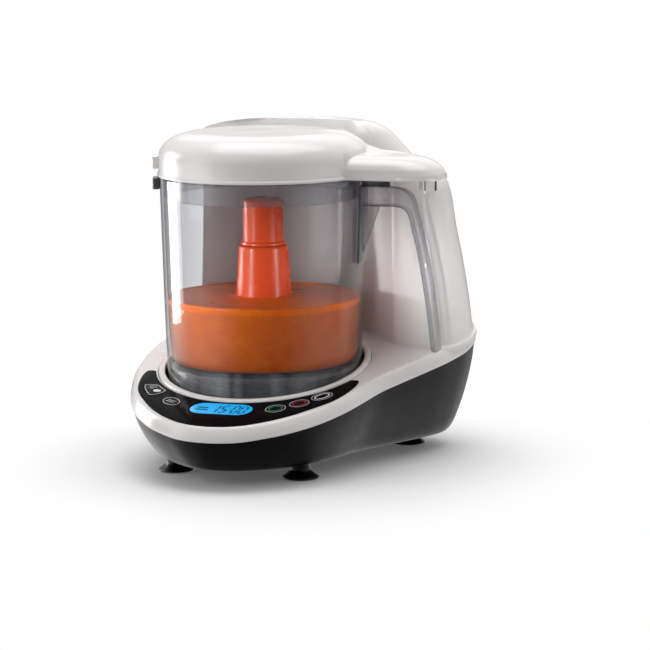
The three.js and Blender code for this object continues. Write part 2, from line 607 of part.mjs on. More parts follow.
const HUB_BORE = SPINDLE_RADIUS + 0.4;
const HUB_PROFILE = [
  [HUB_BORE, 82], [17.9, 82], [18.9, 73.4], [21.4, 73.4], [21.8, 80], [20.6, 92], [18.6, 109],
  [17.4, 126], [16.4, 143], [15, 143.6], [0, 143.6], [0, 129.5], [HUB_BORE, 129.5],
];
piece('blade_hub', cut(lathe(HUB_PROFILE, 22), ...bladeSlots), 'orange');
piece('hub_cap', lathe([
  [0, 143.9], [14.6, 143.9], [14.4, 145.6], [13.3, 146.4], [13.3, 173], [12.2, 174.6], [0, 174.8],
], 22), 'orange');

// ---------------------------------------------------------------- lid shell
const DOME_OUTER = [
  [0, LID_Z], [69.6, LID_Z], [69.6, 192], [68.7, 192.6], [68.6, 202], [67.6, 206.4],
  [64.6, 210.9], [59.4, 214.9], [52.6, 217.4], [44, 218.6], [0, 219.4],
];
const DOME_INNER = [
  [0, 180], [66.9, 180], [66.9, 193.2], [66.2, 193.2], [66.1, 201.6], [65, 205.3],
  [60.6, 210.6], [51.6, 214.8], [43.6, 216], [0, 216.8],
];

// The far end of the wing slopes away; stations are [z, inset of the sides, middle of the end].
const WING_OUTER = [
  [LID_Z, 0, WING_END], [193, 0.05, 101.3], [196.4, 0.1, 98.6], [199.6, 1.3, 96],
  [202.3, 3.9, 93.6], [204, 7.6, 91.8], [204.9, 12, 89],
];
const WING_INNER = [
  [180, 2.6, WING_END], [190.6, 2.6, 102.6], [196, 2.7, 97.8], [199, 3.9, 94.6],
  [201.4, 6.6, 92], [202.3, 10, 89],
];
const wingLoft = (stations, startX) => loft(stations.map(([z, distance, endX]) => {
  const half = WING_HALF - distance;
  const roundEnd = arc(half, -90, 180, 9).map(([x, y]) => [endX + x, y]);
  return atZ([[startX, -half], ...roundEnd, [startX, half]], z);
}));

// raised part behind the wing: [x, y] in plan, with [z, inset] stations
const HUMP_OUTLINE = [
  [30, 0], [84, 12], [98, 22], [86, 31], [73, 40.5], [61.6, 47.6], [53, 50.2], [40, 50],
];
const HUMP_HOLLOW_OUTLINE = [
  [32, 4], [82, 14], [94, 22], [85, 28.6], [73, 38.2], [61.6, 45.4], [53, 48], [42, 46],
];
const hump = insetLoft(HUMP_OUTLINE,
  [[LID_Z, 0], [199, 0.6], [203, 2.6], [206, 5.6], [207.6, 9]]);
const humpHollow = insetLoft(HUMP_HOLLOW_OUTLINE,
  [[180, 2.4], [198, 2.56], [201.4, 4.32], [203.4, 6.4]]);

const leftTab = cut(
  box([66, 72.6], [-7.5, 7.5], [195.2, 204]).rotateZ(SIDE_TAB_ANGLE),
  disc(67, 180, 215, 48),
);
// steam duct: a box towards the port, with a round end over its drop hole
const DUCT = { half: 8, bottom: 194.6, top: 203.4, gap: 0.4, drop: [36, 38] };
const ductOpening = box(
  [58, 80],
  [-DUCT.half - DUCT.gap, DUCT.half + DUCT.gap],
  [DUCT.bottom - DUCT.gap, DUCT.top + DUCT.gap],
).rotateZ(PORT_ANGLE);
const lidBody = cut(
  join(lathe(DOME_OUTER, 40), wingLoft(WING_OUTER, 40), hump, leftTab),
  lathe(DOME_INNER, 40),
  wingLoft(WING_INNER, 50),
  humpHollow,
  ductOpening,
);
// hook under the front right of the wing
const hook = cut(
  box([118.6, 125], [-21.5, -18.3], [183.2, 192]),
  box([110, 122], [-30, -19.9], [182, 184.2]),
);
// the interlock tab hangs from the back of the wing and faces the plunger in the tower
const interlockStem = box([101.8, 105.2], [18, 23], [180.2, 192]);
const interlockArm = box([101.8, 105.2], [18, 36.9], [180.2, 183.6]);
piece('lid_shell', join(lidBody, hook, interlockStem, interlockArm), 'white');

// ---------------------------------------------------------------- lid liner, gasket and duct
const LINER_PROFILE = [
  [0, 192], [62.6, 192], [62.6, 175.6], [64.6, 175.6], [64.8, 192], [66.3, 192.1],
  [66.3, 192.9], [64.8, 193.6], [0, 193.6],
];
const dropHole = (bottom, top) => disc(5, bottom, top, 20, ...DUCT.drop);
piece('lid_liner', cut(lathe(LINER_PROFILE, 32), dropHole(180, 200)), 'silicone');
piece('lid_gasket', ring(65.25, 66.4, 189.8, 191.7, 32), 'rubber');
const ductBox = box([50, 70.6], [-DUCT.half, DUCT.half], [DUCT.bottom, DUCT.top]);
piece('steam_duct', cut(
  join(ductBox.rotateZ(PORT_ANGLE), disc(DUCT.half, DUCT.bottom, DUCT.top, 24, ...DUCT.drop)),
  box([52, 80], [-6, 6], [196.4, 201.6]).rotateZ(PORT_ANGLE),
  dropHole(190, 201),
), 'silicone');

// ---------------------------------------------------------------- steam side, inside the tower
const TANK_OUTLET = [40, 92];
const BOILER = [88, 72];
const tankOutline = spline([
  [-34, 84], [-8, 81.6], [20, 83.4], [46, 82], [58, 80], [60, 92], [48, 102], [20, 105.6],
  [-14, 102.4], [-32, 93],
], 22);
piece('water_tank', cut(
  insetLoft(tankOutline, [[92, 0], [176, 0], [184, 2]]),
  insetLoft(tankOutline, [[94.4, 2.2], [175.6, 2.2], [190, 4.2]]),
  disc(3.2, 80, 100, 16, ...TANK_OUTLET),
), 'water');
piece('tank_outlet', ring(1.6, 5, 80.5, 91.7, 16).translate(...TANK_OUTLET, 0), 'silicone');
piece('steam_boiler', cut(
  disc(17, 84, 128, 32, ...BOILER),
  disc(4, 120, 140, 16, ...BOILER),
), 'alu');

// [x, y, z], from the boiler up to the steam port
const HOSE_PATH = [
  [...BOILER, 128.4], [...BOILER, 150], [82, 74, 172], [72, 72, 190], [63.8, 68.4, 199.8],
];
piece('steam_hose', new THREE.ExtrudeGeometry(shapeOf(oval(0, 0, 3.4, 3.4, 0, 8)), {
  steps: 9,
  extrudePath: new THREE.CatmullRomCurve3(HOSE_PATH.map((point) => new THREE.Vector3(...point))),
  bevelEnabled: false,
}), 'silicone');
const nozzle = ring(2, 4.9, -6.2, 6.4, 20).rotateX(-PI / 2).rotateZ(PI / 2);
piece('steam_nozzle', atPort(nozzle, 82.5), 'silicone');
piece('fill_cap', join(
  fillerDisc(FILLER.headRadius, FILLER.seatZ + 0.1, 221.3, 28),
  fillerDisc(FILLER.plugRadius, 211.6, 217.6, 24),
), 'white');

// ---------------------------------------------------------------- lid interlock and mains entry
piece('interlock_plunger', box([102, 105], [37.4, 49.7], [180.3, 183]), 'white');
piece('interlock_switch', box([96, 103.4], [50.2, 56.5], [172.6, 183.2]), 'black');

// rod along y, given from its low to its high end about the middle of the cord entry
const cordRod = (radius, low, high) => (
  disc(radius, low, high, 14).rotateX(-PI / 2).translate(0, CORD.y, CORD.z));
piece('cord_grommet', cut(cordBox([106, 118.4], 0), cordRod(3.4, -20, 20)), 'rubber');
piece('power_cord', cordRod(3.1, -9, 9.4), 'black');

export default group;
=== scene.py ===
"""A steam cooker and blender for purees: charcoal base, white deck and tower, clear bowl, white lid.

Pieces are drawn in millimetres about the vertical bowl axis, with x to the right, y to the rear
and z up from the table. The deck and its control panel slope down towards the front.
Materials, studio, lights and camera are in metres.
"""
import bpy, bmesh, json, math
import numpy as np
from mathutils import Vector, Matrix

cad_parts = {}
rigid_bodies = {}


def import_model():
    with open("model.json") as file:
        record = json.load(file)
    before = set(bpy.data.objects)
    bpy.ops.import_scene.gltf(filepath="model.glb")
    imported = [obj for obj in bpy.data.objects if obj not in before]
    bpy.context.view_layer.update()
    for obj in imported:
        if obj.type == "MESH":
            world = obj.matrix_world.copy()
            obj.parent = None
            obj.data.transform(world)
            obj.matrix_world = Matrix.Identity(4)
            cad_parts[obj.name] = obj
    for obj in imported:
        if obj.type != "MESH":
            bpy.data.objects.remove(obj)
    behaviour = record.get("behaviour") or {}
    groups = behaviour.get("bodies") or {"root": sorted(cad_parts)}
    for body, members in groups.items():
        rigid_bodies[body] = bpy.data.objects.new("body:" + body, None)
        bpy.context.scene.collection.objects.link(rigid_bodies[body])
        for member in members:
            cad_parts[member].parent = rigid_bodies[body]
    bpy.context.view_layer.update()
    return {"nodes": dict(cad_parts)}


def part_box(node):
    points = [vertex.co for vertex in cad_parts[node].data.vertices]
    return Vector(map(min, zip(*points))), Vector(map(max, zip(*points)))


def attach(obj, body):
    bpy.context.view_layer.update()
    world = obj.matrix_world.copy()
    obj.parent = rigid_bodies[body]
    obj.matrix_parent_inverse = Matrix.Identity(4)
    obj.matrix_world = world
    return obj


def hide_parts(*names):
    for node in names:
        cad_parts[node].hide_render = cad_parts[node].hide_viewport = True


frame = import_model()
SCENE = bpy.context.scene


def plan_centre(node):
    """Centre of a CAD node in plan, in metres, at table height."""
    low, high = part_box(node)
    return np.array([(low.x + high.x) / 2, (low.y + high.y) / 2, 0.0])


AXIS = plan_centre("blade_spindle")
SLOPE = 0.205                   # rise of the deck per mm towards the rear
TILT = math.atan(SLOPE)
COS = math.cos(TILT)
# heights at the bowl axis
Z_DECK, Z_PART, Z_FLOOR = 64.3, 55.0, 10.0
LOCK_TURN = math.radians(199.3)     # bearing of the lugs on bowl and lid
FILL_X, FILL_Y = 16.5, 87           # centre of the fill cap
SHARP_ANGLE = 38.0                  # degrees above which an edge is shaded sharp


# ================================================================== curves
def hermite(t, start, leave, end, arrive):
    return ((2 * t**3 - 3 * t**2 + 1) * start + (t**3 - 2 * t**2 + t) * leave
            + (-2 * t**3 + 3 * t**2) * end + (t**3 - t**2) * arrive)


def spline(points, count, closed=True, dense=40):
    """Centripetal Catmull-Rom curve through the points, resampled at even spacing."""
    points = np.asarray(points, float)
    if closed:
        padded = np.vstack([points[-1], points, points[0], points[1]])
    else:
        padded = np.vstack([2 * points[0] - points[1], points, 2 * points[-1] - points[-2]])
    t = np.linspace(0, 1, dense, endpoint=False)[:, None]
    runs = []
    for before, start, end, after in zip(padded, padded[1:], padded[2:], padded[3:]):
        gap1, gap2, gap3 = (max(np.linalg.norm(b - a), 1e-9) ** 0.5
                            for a, b in ((before, start), (start, end), (end, after)))
        chord = end - start
        leave = chord + gap2 * ((start - before) / gap1 - (end - before) / (gap1 + gap2))
        arrive = chord + gap2 * ((after - end) / gap3 - (after - start) / (gap2 + gap3))
        runs.append(hermite(t, start, leave, end, arrive))
    curve = np.vstack(runs + [points[:1] if closed else points[-1:]])
    length = np.concatenate([[0], np.cumsum(np.linalg.norm(np.diff(curve, axis=0), axis=1))])
    if closed:
        wanted = np.linspace(0, length[-1], count + 1)[:-1]
    else:
        wanted = np.linspace(0, length[-1], count)
    return np.stack([np.interp(wanted, length, column) for column in curve.T], 1)


def monotone(stations, values, query):
    """Monotone cubic through the rows of values at the stations."""
    stations = np.asarray(stations, float)
    values = np.asarray(values, float)
    flat = values.reshape(len(stations), -1)
    gap = np.diff(stations)
    rise = np.diff(flat, axis=0) / gap[:, None]
    slope = np.zeros_like(flat)
    slope[0], slope[-1] = rise[0], rise[-1]
    before, after = rise[:-1], rise[1:]
    weight1 = (2 * gap[1:] + gap[:-1])[:, None]
    weight2 = (gap[1:] + 2 * gap[:-1])[:, None]
    with np.errstate(divide="ignore", invalid="ignore"):
        mean = (weight1 + weight2) / (weight1 / before + weight2 / after)
    slope[1:-1] = np.where(before * after > 0, mean, 0)
    query = np.clip(np.asarray(query, float), stations[0], stations[-1])
    i = np.clip(np.searchsorted(stations, query, side="right") - 1, 0, len(stations) - 2)
    t = ((query - stations[i]) / gap[i])[:, None]
    width = gap[i][:, None]
    result = hermite(t, flat[i], width * slope[i], flat[i + 1], width * slope[i + 1])
    return result.reshape((len(query),) + values.shape[1:])


def outward(outline):
    """Outward unit normals of a closed plan curve that runs anticlockwise."""
    along = np.roll(outline, -1, 0) - np.roll(outline, 1, 0)
    along /= np.linalg.norm(along, axis=1)[:, None]
    return np.stack([along[:, 1], -along[:, 0]], 1)


def inset(outline, depth):
    return outline - outward(outline) * depth


def blend(first, second, weight):
    return first * (1 - weight) + second * weight


def smooth_max(a, b, reach):
    overlap = np.clip(reach - np.abs(a - b), 0, None) / reach
    return np.maximum(a, b) + overlap * overlap * reach / 4


def smooth_min(a, b, reach):
    return -smooth_max(-a, -b, reach)


def rounded(points, radii, steps=5):
    """A closed polyline with its corners curved, by one radius or by one per corner."""
    points = [np.asarray(p, float) for p in points]
    count = len(points)
    radii = list(radii) if hasattr(radii, "__len__") else [radii] * count
    out = []
    for i, (corner, radius) in enumerate(zip(points, radii)):
        if radius <= 0:
            out.append(corner)
            continue
        back, ahead = points[i - 1] - corner, points[(i + 1) % count] - corner
        back_len, ahead_len = np.linalg.norm(back), np.linalg.norm(ahead)
        start = corner + back / back_len * min(radius, back_len * 0.48)
        end = corner + ahead / ahead_len * min(radius, ahead_len * 0.48)
        for t in np.linspace(0, 1, steps):
            out.append((1 - t) ** 2 * start + 2 * t * (1 - t) * corner + t * t * end)
    return np.array(out)


def around(count):
    return np.linspace(0, 2 * np.pi, count, endpoint=False)


def incline(y, height=Z_DECK):
    """Height at y of a plane parallel to the deck, given its height at the bowl axis."""
    return height + SLOPE * y


def at_height(outline, z):
    return np.column_stack([outline, np.broadcast_to(z, len(outline))])


# ================================================================== shapes: (vertices, faces)
def grid_faces(rows, cols, wrap_rows=False, wrap_cols=True, base=0):
    row = np.arange(rows if wrap_rows else rows - 1)
    col = np.arange(cols if wrap_cols else cols - 1)
    row, col = np.meshgrid(row, col, indexing="ij")
    row2, col2 = (row + 1) % rows, (col + 1) % cols
    corners = [row * cols + col, row * cols + col2, row2 * cols + col2, row2 * cols + col]
    return (base + np.stack(corners, -1).reshape(-1, 4)).tolist()


def capped_faces(rings, count):
    """Faces of a stack of rings with both ends closed."""
    ends = [list(range(count))[::-1], list(range((rings - 1) * count, rings * count))]
    return grid_faces(rings, count) + ends


def revolve(profile, segments, height=None):
    """Turns a closed (radius, z) profile about the bowl axis; height may change z by place."""
    profile = np.asarray(profile, float)
    radius, z = profile[:, :1], profile[:, 1:2]
    angle = around(segments)
    if height:
        z = height(radius, z, angle)
    places = np.broadcast_arrays(radius * np.cos(angle), radius * np.sin(angle), z)
    return np.stack(places, -1).reshape(-1, 3), grid_faces(len(profile), segments, wrap_rows=True)


def turned(shape, angle):
    verts, faces = shape
    c, s = math.cos(angle), math.sin(angle)
    x, y, z = np.asarray(verts, float).T
    return np.stack([x * c - y * s, x * s + y * c, z], 1), faces


def moved(shape, x, y):
    return shape[0] + np.array([x, y, 0.0]), shape[1]


def on_deck(shape):
    """From the deck's own frame, square to the incline, to the upright one."""
    verts, faces = shape
    c, s = math.cos(TILT), math.sin(TILT)
    x, y, z = verts.T
    return np.stack([x, y * c - z * s, y * s + z * c + Z_DECK], 1), faces


def flatten(outline):
    """Stretches a plan outline in y so that it keeps its plan size on the incline."""
    x, y = np.asarray(outline, float).T
    return np.stack([x, y / COS], 1)


def tablet(outline, z0, z1, bevel=0.35, steps=4):
    """A plate with an anticlockwise plan outline, rounded at its top edge."""
    rings = [at_height(inset(outline, 0), z0)]
    for t in np.linspace(0, np.pi / 2, steps):
        ring = inset(outline, bevel * (1 - math.cos(t)))
        rings.append(at_height(ring, z1 - bevel + bevel * math.sin(t)))
    return np.vstack(rings), capped_faces(len(rings), len(outline))


def block(x, y, z, radius=0.6, turn=0.0):
    """A box with rounded edges; x, y and z are (low, high) pairs."""
    spans = (x, y, z)
    bm = bmesh.new()
    bmesh.ops.create_cube(bm, size=1.0)
    for v in bm.verts:
        v.co = Vector([(low + high) / 2 + c * (high - low) for c, (low, high) in zip(v.co, spans)])
    bmesh.ops.bevel(bm, geom=list(bm.edges), offset=radius, segments=4, profile=0.5,
                    affect="EDGES")
    bm.verts.index_update()
    verts = np.array([v.co[:] for v in bm.verts])
    faces = [[v.index for v in f.verts] for f in bm.faces]
    bm.free()
    return turned((verts, faces), turn)


def merge(*shapes):
    verts, faces, base = [], [], 0
    for part_verts, part_faces in shapes:
        verts.append(part_verts)
        faces += [[i + base for i in face] for face in part_faces]
        base += len(part_verts)
    return np.vstack(verts), faces


# ================================================================== objects
def finish_mesh(bm, mesh, angle=SHARP_ANGLE):
    """Smooth shading with edges above the angle left sharp."""
    limit = math.radians(angle)
    for f in bm.faces:
        f.smooth = True
    for e in bm.edges:
        e.smooth = not (len(e.link_faces) == 2 and e.calc_face_angle(0.0) > limit)
    bm.to_mesh(mesh)
    bm.free()
    mesh.update()


def put(name, shape, material, body, replaces=None, angle=SHARP_ANGLE, weld=None,
        centre=AXIS):
    """Makes an object from a shape in mm about a centre given in metres."""
    verts, faces = shape
    verts = np.asarray(verts, float) / 1000.0 + centre
    mesh = bpy.data.meshes.new(name)
    mesh.from_pydata(verts.tolist(), [], faces)
    bm = bmesh.new()
    bm.from_mesh(mesh)
    if weld:
        bmesh.ops.remove_doubles(bm, verts=bm.verts, dist=weld / 1000.0)
        bmesh.ops.dissolve_degenerate(bm, dist=1e-9, edges=bm.edges)
    bmesh.ops.recalc_face_normals(bm, faces=bm.faces)
    finish_mesh(bm, mesh, angle)
    ob = bpy.data.objects.new(name, mesh)
    SCENE.collection.objects.link(ob)
    mesh.materials.append(material)
    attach(ob, body)
    if replaces:
        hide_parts(replaces)
    return ob


def cut_away(ob, cutter):
    modifier = ob.modifiers.new("cut", "BOOLEAN")
    modifier.operation, modifier.solver, modifier.object = "DIFFERENCE", "EXACT", cutter
    bpy.context.view_layer.update()
    graph = bpy.context.evaluated_depsgraph_get()
    mesh = bpy.data.meshes.new_from_object(ob.evaluated_get(graph), depsgraph=graph)
    ob.modifiers.clear()
    materials = list(ob.data.materials)
    ob.data = mesh
    mesh.materials.clear()
    for material in materials:
        mesh.materials.append(material)
    bm = bmesh.new()
    bm.from_mesh(mesh)
    finish_mesh(bm, mesh)


# ================================================================== shader nodes
class Nodes:
    """A node tree being built. An input is given as a value or as the socket that feeds it."""

    def __init__(self, owner, output="ShaderNodeOutputMaterial"):
        owner.use_nodes = True
        self.tree = owner.node_tree
        self.tree.nodes.clear()
        self.surface = self.tree.nodes.new(output).inputs[0]

    def show(self, shader):
        self.tree.links.new(shader, self.surface)

    def add(self, kind, inputs=None, output=0, **settings):
        node = self.tree.nodes.new("ShaderNode" + kind)
        for key, value in settings.items():
            setattr(node, key, value)
        for key, value in (inputs or {}).items():
            socket = node.inputs[key]
            if isinstance(value, bpy.types.NodeSocket):
                self.tree.links.new(value, socket)
            elif socket.type == "RGBA":
                socket.default_value = (*value, 1)
            else:
                socket.default_value = value
        return node.outputs[output]

    def mapping(self, source, scale=(1, 1, 1)):
        return self.add("Mapping", {"Vector": source, "Scale": scale})

    def place(self, scale=(1, 1, 1)):
        return self.mapping(self.add("TexCoord", output="Object"), scale)

    def noise(self, place, scale, detail, roughness=0.5):
        return self.add("TexNoise", {"Vector": place, "Scale": scale, "Detail": detail,
                                     "Roughness": roughness}, "Fac")

    def ramp(self, source, stops):
        colour = self.add("ValToRGB", {"Fac": source})
        elements = colour.node.color_ramp.elements
        while len(elements) < len(stops):
            elements.new(0.5)
        for element, (position, rgb) in zip(elements, stops):
            element.position = position
            element.color = (*rgb, 1)
        return colour

    def speckle(self, source, low, high):
        """Black below low, white above high, as a grey value."""
        black_white = self.ramp(source, [(low, (0, 0, 0)), (high, (1, 1, 1))])
        return self.add("RGBToBW", {0: black_white})

    def remap(self, source, over, to):
        return self.add("MapRange", {"Value": source, "From Min": over[0], "From Max": over[1],
                                     "To Min": to[0], "To Max": to[1]}, "Result")

    def mix(self, factor, a, b):
        inputs = {"Factor": factor, "A": a, "B": b}
        return self.add("Mix", inputs, "Result", data_type="RGBA")

    def mix_shader(self, factor, a, b):
        return self.add("MixShader", {0: factor, 1: a, 2: b})

    def bump(self, height, strength, distance):
        return self.add("Bump", {"Height": height, "Strength": strength, "Distance": distance})


def new_material(name):
    material = bpy.data.materials.new(name)
    return material, Nodes(material)


def shade(colour, factor, plus=0.0):
    return tuple(min(1, c * factor + plus) for c in colour)


# ================================================================== materials
def moulded(name, base, rough=0.3, var=0.04, grain=900.0, bump=0.02, wear=0.15, wear_col=None,
            coat=0.0, sss=0.0, spec=0.5, fleck=0.0, smudge=0.06, ior=1.5):
    """Moulded plastic or rubber: colour drift, fine grain, smudged gloss, lighter edges."""
    material, nodes = new_material(name)
    place = nodes.place()
    slow = nodes.noise(place, scale=14.0, detail=3.0, roughness=0.55)
    fine = nodes.noise(place, scale=grain, detail=2.0)
    smear = nodes.noise(place, scale=38.0, detail=6.0, roughness=0.65)
    colour = nodes.ramp(slow, [(0.3, shade(base, 1 - var)), (0.7, shade(base, 1 + var))])
    if fleck:
        amount = nodes.remap(nodes.speckle(fine, low=0.45, high=0.75), over=(0, 1), to=(0, fleck))
        colour = nodes.mix(amount, colour, shade(base, 1.6, plus=0.02))
    pointiness = nodes.add("NewGeometry", output="Pointiness")
    edge = nodes.remap(pointiness, over=(0.515, 0.56), to=(0.0, wear))
    inputs = {
        "Base Color": nodes.mix(edge, colour, wear_col or shade(base, 1.25, plus=0.04)),
        "Roughness": nodes.remap(smear, over=(0.3, 0.75),
                                 to=(max(0.02, rough - smudge), rough + smudge)),
        "Specular IOR Level": spec,
        "IOR": ior,
        "Normal": nodes.bump(fine, strength=bump, distance=0.0004),
    }
    if coat:
        inputs |= {"Coat Weight": coat, "Coat Roughness": 0.04}
    if sss:
        inputs |= {"Subsurface Weight": sss, "Subsurface Radius": (0.004, 0.003, 0.002),
                   "Subsurface Scale": 0.6}
    shader = nodes.add("BsdfPrincipled", inputs)
    nodes.show(shader)
    material["bsdf"] = shader.node.name     # label kept on the material
    return material


def seethrough(name, tint, edge_tint, haze=(0.7, 0.72, 0.76), haze_amt=0.06, rough=0.03,
               ior=1.45, edge_pow=0.35, wave=0.03, skirt=None):
    """Thin clear plastic: tint that deepens edge on, fresnel reflections, light scuffs.

    skirt is (z low, z high, extra haze at z low), for a milky band with vertical flow lines.
    """
    material, nodes = new_material(name)
    place = nodes.place()
    facing = nodes.add("LayerWeight", {"Blend": edge_pow}, "Facing")
    scuff = nodes.noise(place, scale=60.0, detail=5.0, roughness=0.6)
    clear = nodes.add("BsdfTransparent", {"Color": nodes.mix(facing, tint, edge_tint)})
    milky = nodes.add("BsdfDiffuse", {"Color": haze})
    amount = nodes.remap(scuff, over=(0.35, 0.75), to=(haze_amt * 0.6, haze_amt * 1.5))
    if skirt:
        low, high, extra = skirt
        z = nodes.add("SeparateXYZ", {0: place}, "Z")
        band = nodes.remap(z, over=(low, high), to=(extra, 0.0))
        flow = nodes.noise(nodes.mapping(place, (1.0, 1.0, 0.03)),
                           scale=120.0, detail=3.0, roughness=0.6)
        lines = nodes.remap(flow, over=(0.35, 0.68), to=(0.35, 1.9))
        amount = nodes.add("Math", {0: band, 1: lines, 2: amount}, operation="MULTIPLY_ADD")
    body = nodes.mix_shader(amount, clear, milky)
    ripple = nodes.noise(place, scale=22.0, detail=1.0)
    normal = nodes.bump(ripple, strength=wave, distance=0.0006)
    gloss_rough = nodes.remap(scuff, over=(0.3, 0.8), to=(rough * 0.7, rough * 1.6))
    gloss = nodes.add("BsdfGlossy", {"Color": (1, 1, 1), "Roughness": gloss_rough,
                                     "Normal": normal})
    # Schlick's fresnel
    grazing = nodes.add("LayerWeight", {"Blend": 0.5, "Normal": normal}, "Facing")
    fifth = nodes.add("Math", {0: grazing, 1: 5.0}, operation="POWER")
    fresnel = nodes.remap(fifth, over=(0.0, 1.0), to=(((ior - 1) / (ior + 1)) ** 2, 0.9))
    nodes.show(nodes.mix_shader(fresnel, body, gloss))
    return material


def brushed(name, base, rough=0.28, stretch=(1, 40, 1)):
    """Metal with a noise stretched along chosen axes."""
    material, nodes = new_material(name)
    place = nodes.place(tuple(60.0 * s for s in stretch))
    grain = nodes.noise(place, scale=6.0, detail=5.0, roughness=0.7)
    nodes.show(nodes.add("BsdfPrincipled", {
        "Base Color": nodes.ramp(grain, [(0.3, shade(base, 0.82)), (0.7, base)]),
        "Roughness": nodes.remap(grain, over=(0.3, 0.7), to=(rough - 0.08, rough + 0.12)),
        "Metallic": 1.0,
        "Normal": nodes.bump(grain, strength=0.08, distance=0.0002),
    }))
    return material


def backlit_display(name):
    material, nodes = new_material(name)
    place = nodes.place()
    cloud = nodes.noise(place, scale=50.0, detail=2.0)
    dots = nodes.add("TexVoronoi", {"Vector": place, "Scale": 1600.0}, "Distance")
    glow = nodes.ramp(cloud, [(0.3, (0.006, 0.37, 0.82)), (0.7, (0.012, 0.47, 0.95))])
    nodes.show(nodes.add("BsdfPrincipled", {
        "Base Color": nodes.mix(0.8, glow, (0.0, 0.02, 0.04)),
        "Emission Color": glow,
        "Emission Strength": 0.80,
        "Roughness": nodes.remap(dots, over=(0.0, 0.6), to=(0.12, 0.2)),
    }))
    return material


def orange_puree(name):
    material, nodes = new_material(name)
    place = nodes.place()
    pulp = nodes.noise(place, scale=55.0, detail=7.0, roughness=0.62)
    fibre = nodes.noise(place, scale=420.0, detail=3.0)
    colour = nodes.ramp(pulp, [(0.25, (0.78, 0.115, 0.0)), (0.55, (0.90, 0.17, 0.0)),
                               (0.8, (0.95, 0.27, 0.001))])
    amount = nodes.remap(nodes.speckle(fibre, low=0.62, high=0.74), over=(0, 1), to=(0, 0.35))
    nodes.show(nodes.add("BsdfPrincipled", {
        "Base Color": nodes.mix(amount, colour, (0.97, 0.42, 0.01)),
        "Roughness": nodes.remap(pulp, over=(0.3, 0.7), to=(0.25, 0.45)),
        "Subsurface Weight": 0.25,
        "Specular IOR Level": 0.15,
        "Subsurface Radius": (0.006, 0.002, 0.0005),
        "Subsurface Scale": 0.8,
        "Normal": nodes.bump(pulp, strength=0.35, distance=0.0012),
    }))
    return material


WHITE = moulded("white_gloss", (0.80, 0.772, 0.765), rough=0.24, var=0.012, bump=0.012, wear=0.05,
                wear_col=(0.86, 0.85, 0.84), coat=0.2, smudge=0.05)
TAB_WHITE = moulded("white_tab", (0.80, 0.79, 0.78), rough=0.3, var=0.015, wear=0.1)
CHARCOAL = moulded("charcoal_satin", (0.0052, 0.0050, 0.0064), rough=0.38, var=0.10,
                   grain=2600.0, bump=0.08, wear=0.06, wear_col=(0.02, 0.02, 0.023), fleck=0.04,
                   smudge=0.07, spec=0.16)
PANEL_BLACK = moulded("panel_gloss", (0.0042, 0.0042, 0.0055), rough=0.09, var=0.15, bump=0.004,
                      wear=0.05, spec=0.5, smudge=0.04, ior=1.06)
FOOT_RUBBER = moulded("foot_rubber", (0.0025, 0.0025, 0.003), rough=0.28, spec=0.3,
                      wear_col=(0.012, 0.012, 0.013), var=0.12, grain=1800.0, bump=0.08,
                      wear=0.05, smudge=0.1)
MATT_RUBBER = moulded("matt_rubber", (0.015, 0.015, 0.016), rough=0.65, var=0.15, grain=2200.0,
                      bump=0.2, wear=0.08)
ORANGE = moulded("hub_orange", (0.88, 0.088, 0.012), rough=0.28, var=0.05, grain=700.0,
                 bump=0.015, wear=0.14, wear_col=(0.9, 0.24, 0.07), sss=0.08, spec=0.35)
SILICONE = moulded("silicone", (0.62, 0.60, 0.57), rough=0.5, var=0.03, bump=0.03, sss=0.2)
BLACK = moulded("black_plastic", (0.014, 0.014, 0.015), rough=0.4, var=0.1, grain=1500.0,
                bump=0.1)
KEY_BLACK = moulded("key_black", (0.006, 0.006, 0.008), rough=0.16, var=0.1, bump=0.01,
                    wear=0.08, ior=1.10)
PRINT_GREY = moulded("print_grey", (0.50, 0.50, 0.52), rough=0.35, var=0.06, bump=0.01, wear=0.0)
PRINT_WHITE = moulded("print_white", (0.80, 0.80, 0.82), rough=0.35, var=0.04, bump=0.01,
                      wear=0.0)
RING_GREEN = moulded("key_ring_green", (0.012, 0.22, 0.085), rough=0.25, var=0.08, bump=0.01,
                     wear=0.1)
RING_RED = moulded("key_ring_red", (0.36, 0.012, 0.03), rough=0.25, var=0.08, bump=0.01, wear=0.1)
SEGMENT = moulded("display_segment", (0.002, 0.008, 0.03), rough=0.5, spec=0.1, var=0.1,
                  bump=0.0, wear=0.0)
STEEL = brushed("stainless", (0.62, 0.63, 0.65))
ZINC = brushed("zinc_can", (0.48, 0.49, 0.50), rough=0.36, stretch=(1, 1, 30))
ALUMINIUM = brushed("cast_aluminium", (0.55, 0.56, 0.58), rough=0.45, stretch=(2, 2, 2))
BRONZE = brushed("sintered_bronze", (0.55, 0.38, 0.16), rough=0.45, stretch=(3, 3, 3))
BOARD_GREEN = moulded("solder_mask", (0.015, 0.12, 0.045), rough=0.3, var=0.2, grain=400.0,
                      bump=0.1, fleck=0.3)
BOWL_CLEAR = seethrough("bowl_clear_smoke", (0.935, 0.932, 0.934), (0.60, 0.605, 0.63),
                        haze=(0.55, 0.57, 0.60), haze_amt=0.003, rough=0.02, edge_pow=0.30,
                        ior=1.30, skirt=(0.0660, 0.0690, 0.13))
SMOKE = seethrough("handle_smoke", (0.90, 0.90, 0.92), (0.06, 0.06, 0.07),
                   haze=(0.45, 0.455, 0.48), haze_amt=0.09, rough=0.035, ior=1.52,
                   edge_pow=0.33, wave=0.008)
LUG_SMOKE = moulded("lug_smoke", (0.06, 0.06, 0.068), rough=0.14, var=0.05, bump=0.01, wear=0.2,
                    coat=0.4)
TANK_CLEAR = seethrough("tank_clear", (0.86, 0.90, 0.93), (0.5, 0.55, 0.6), haze_amt=0.05)
DISPLAY_BLUE = backlit_display("display_backlit")
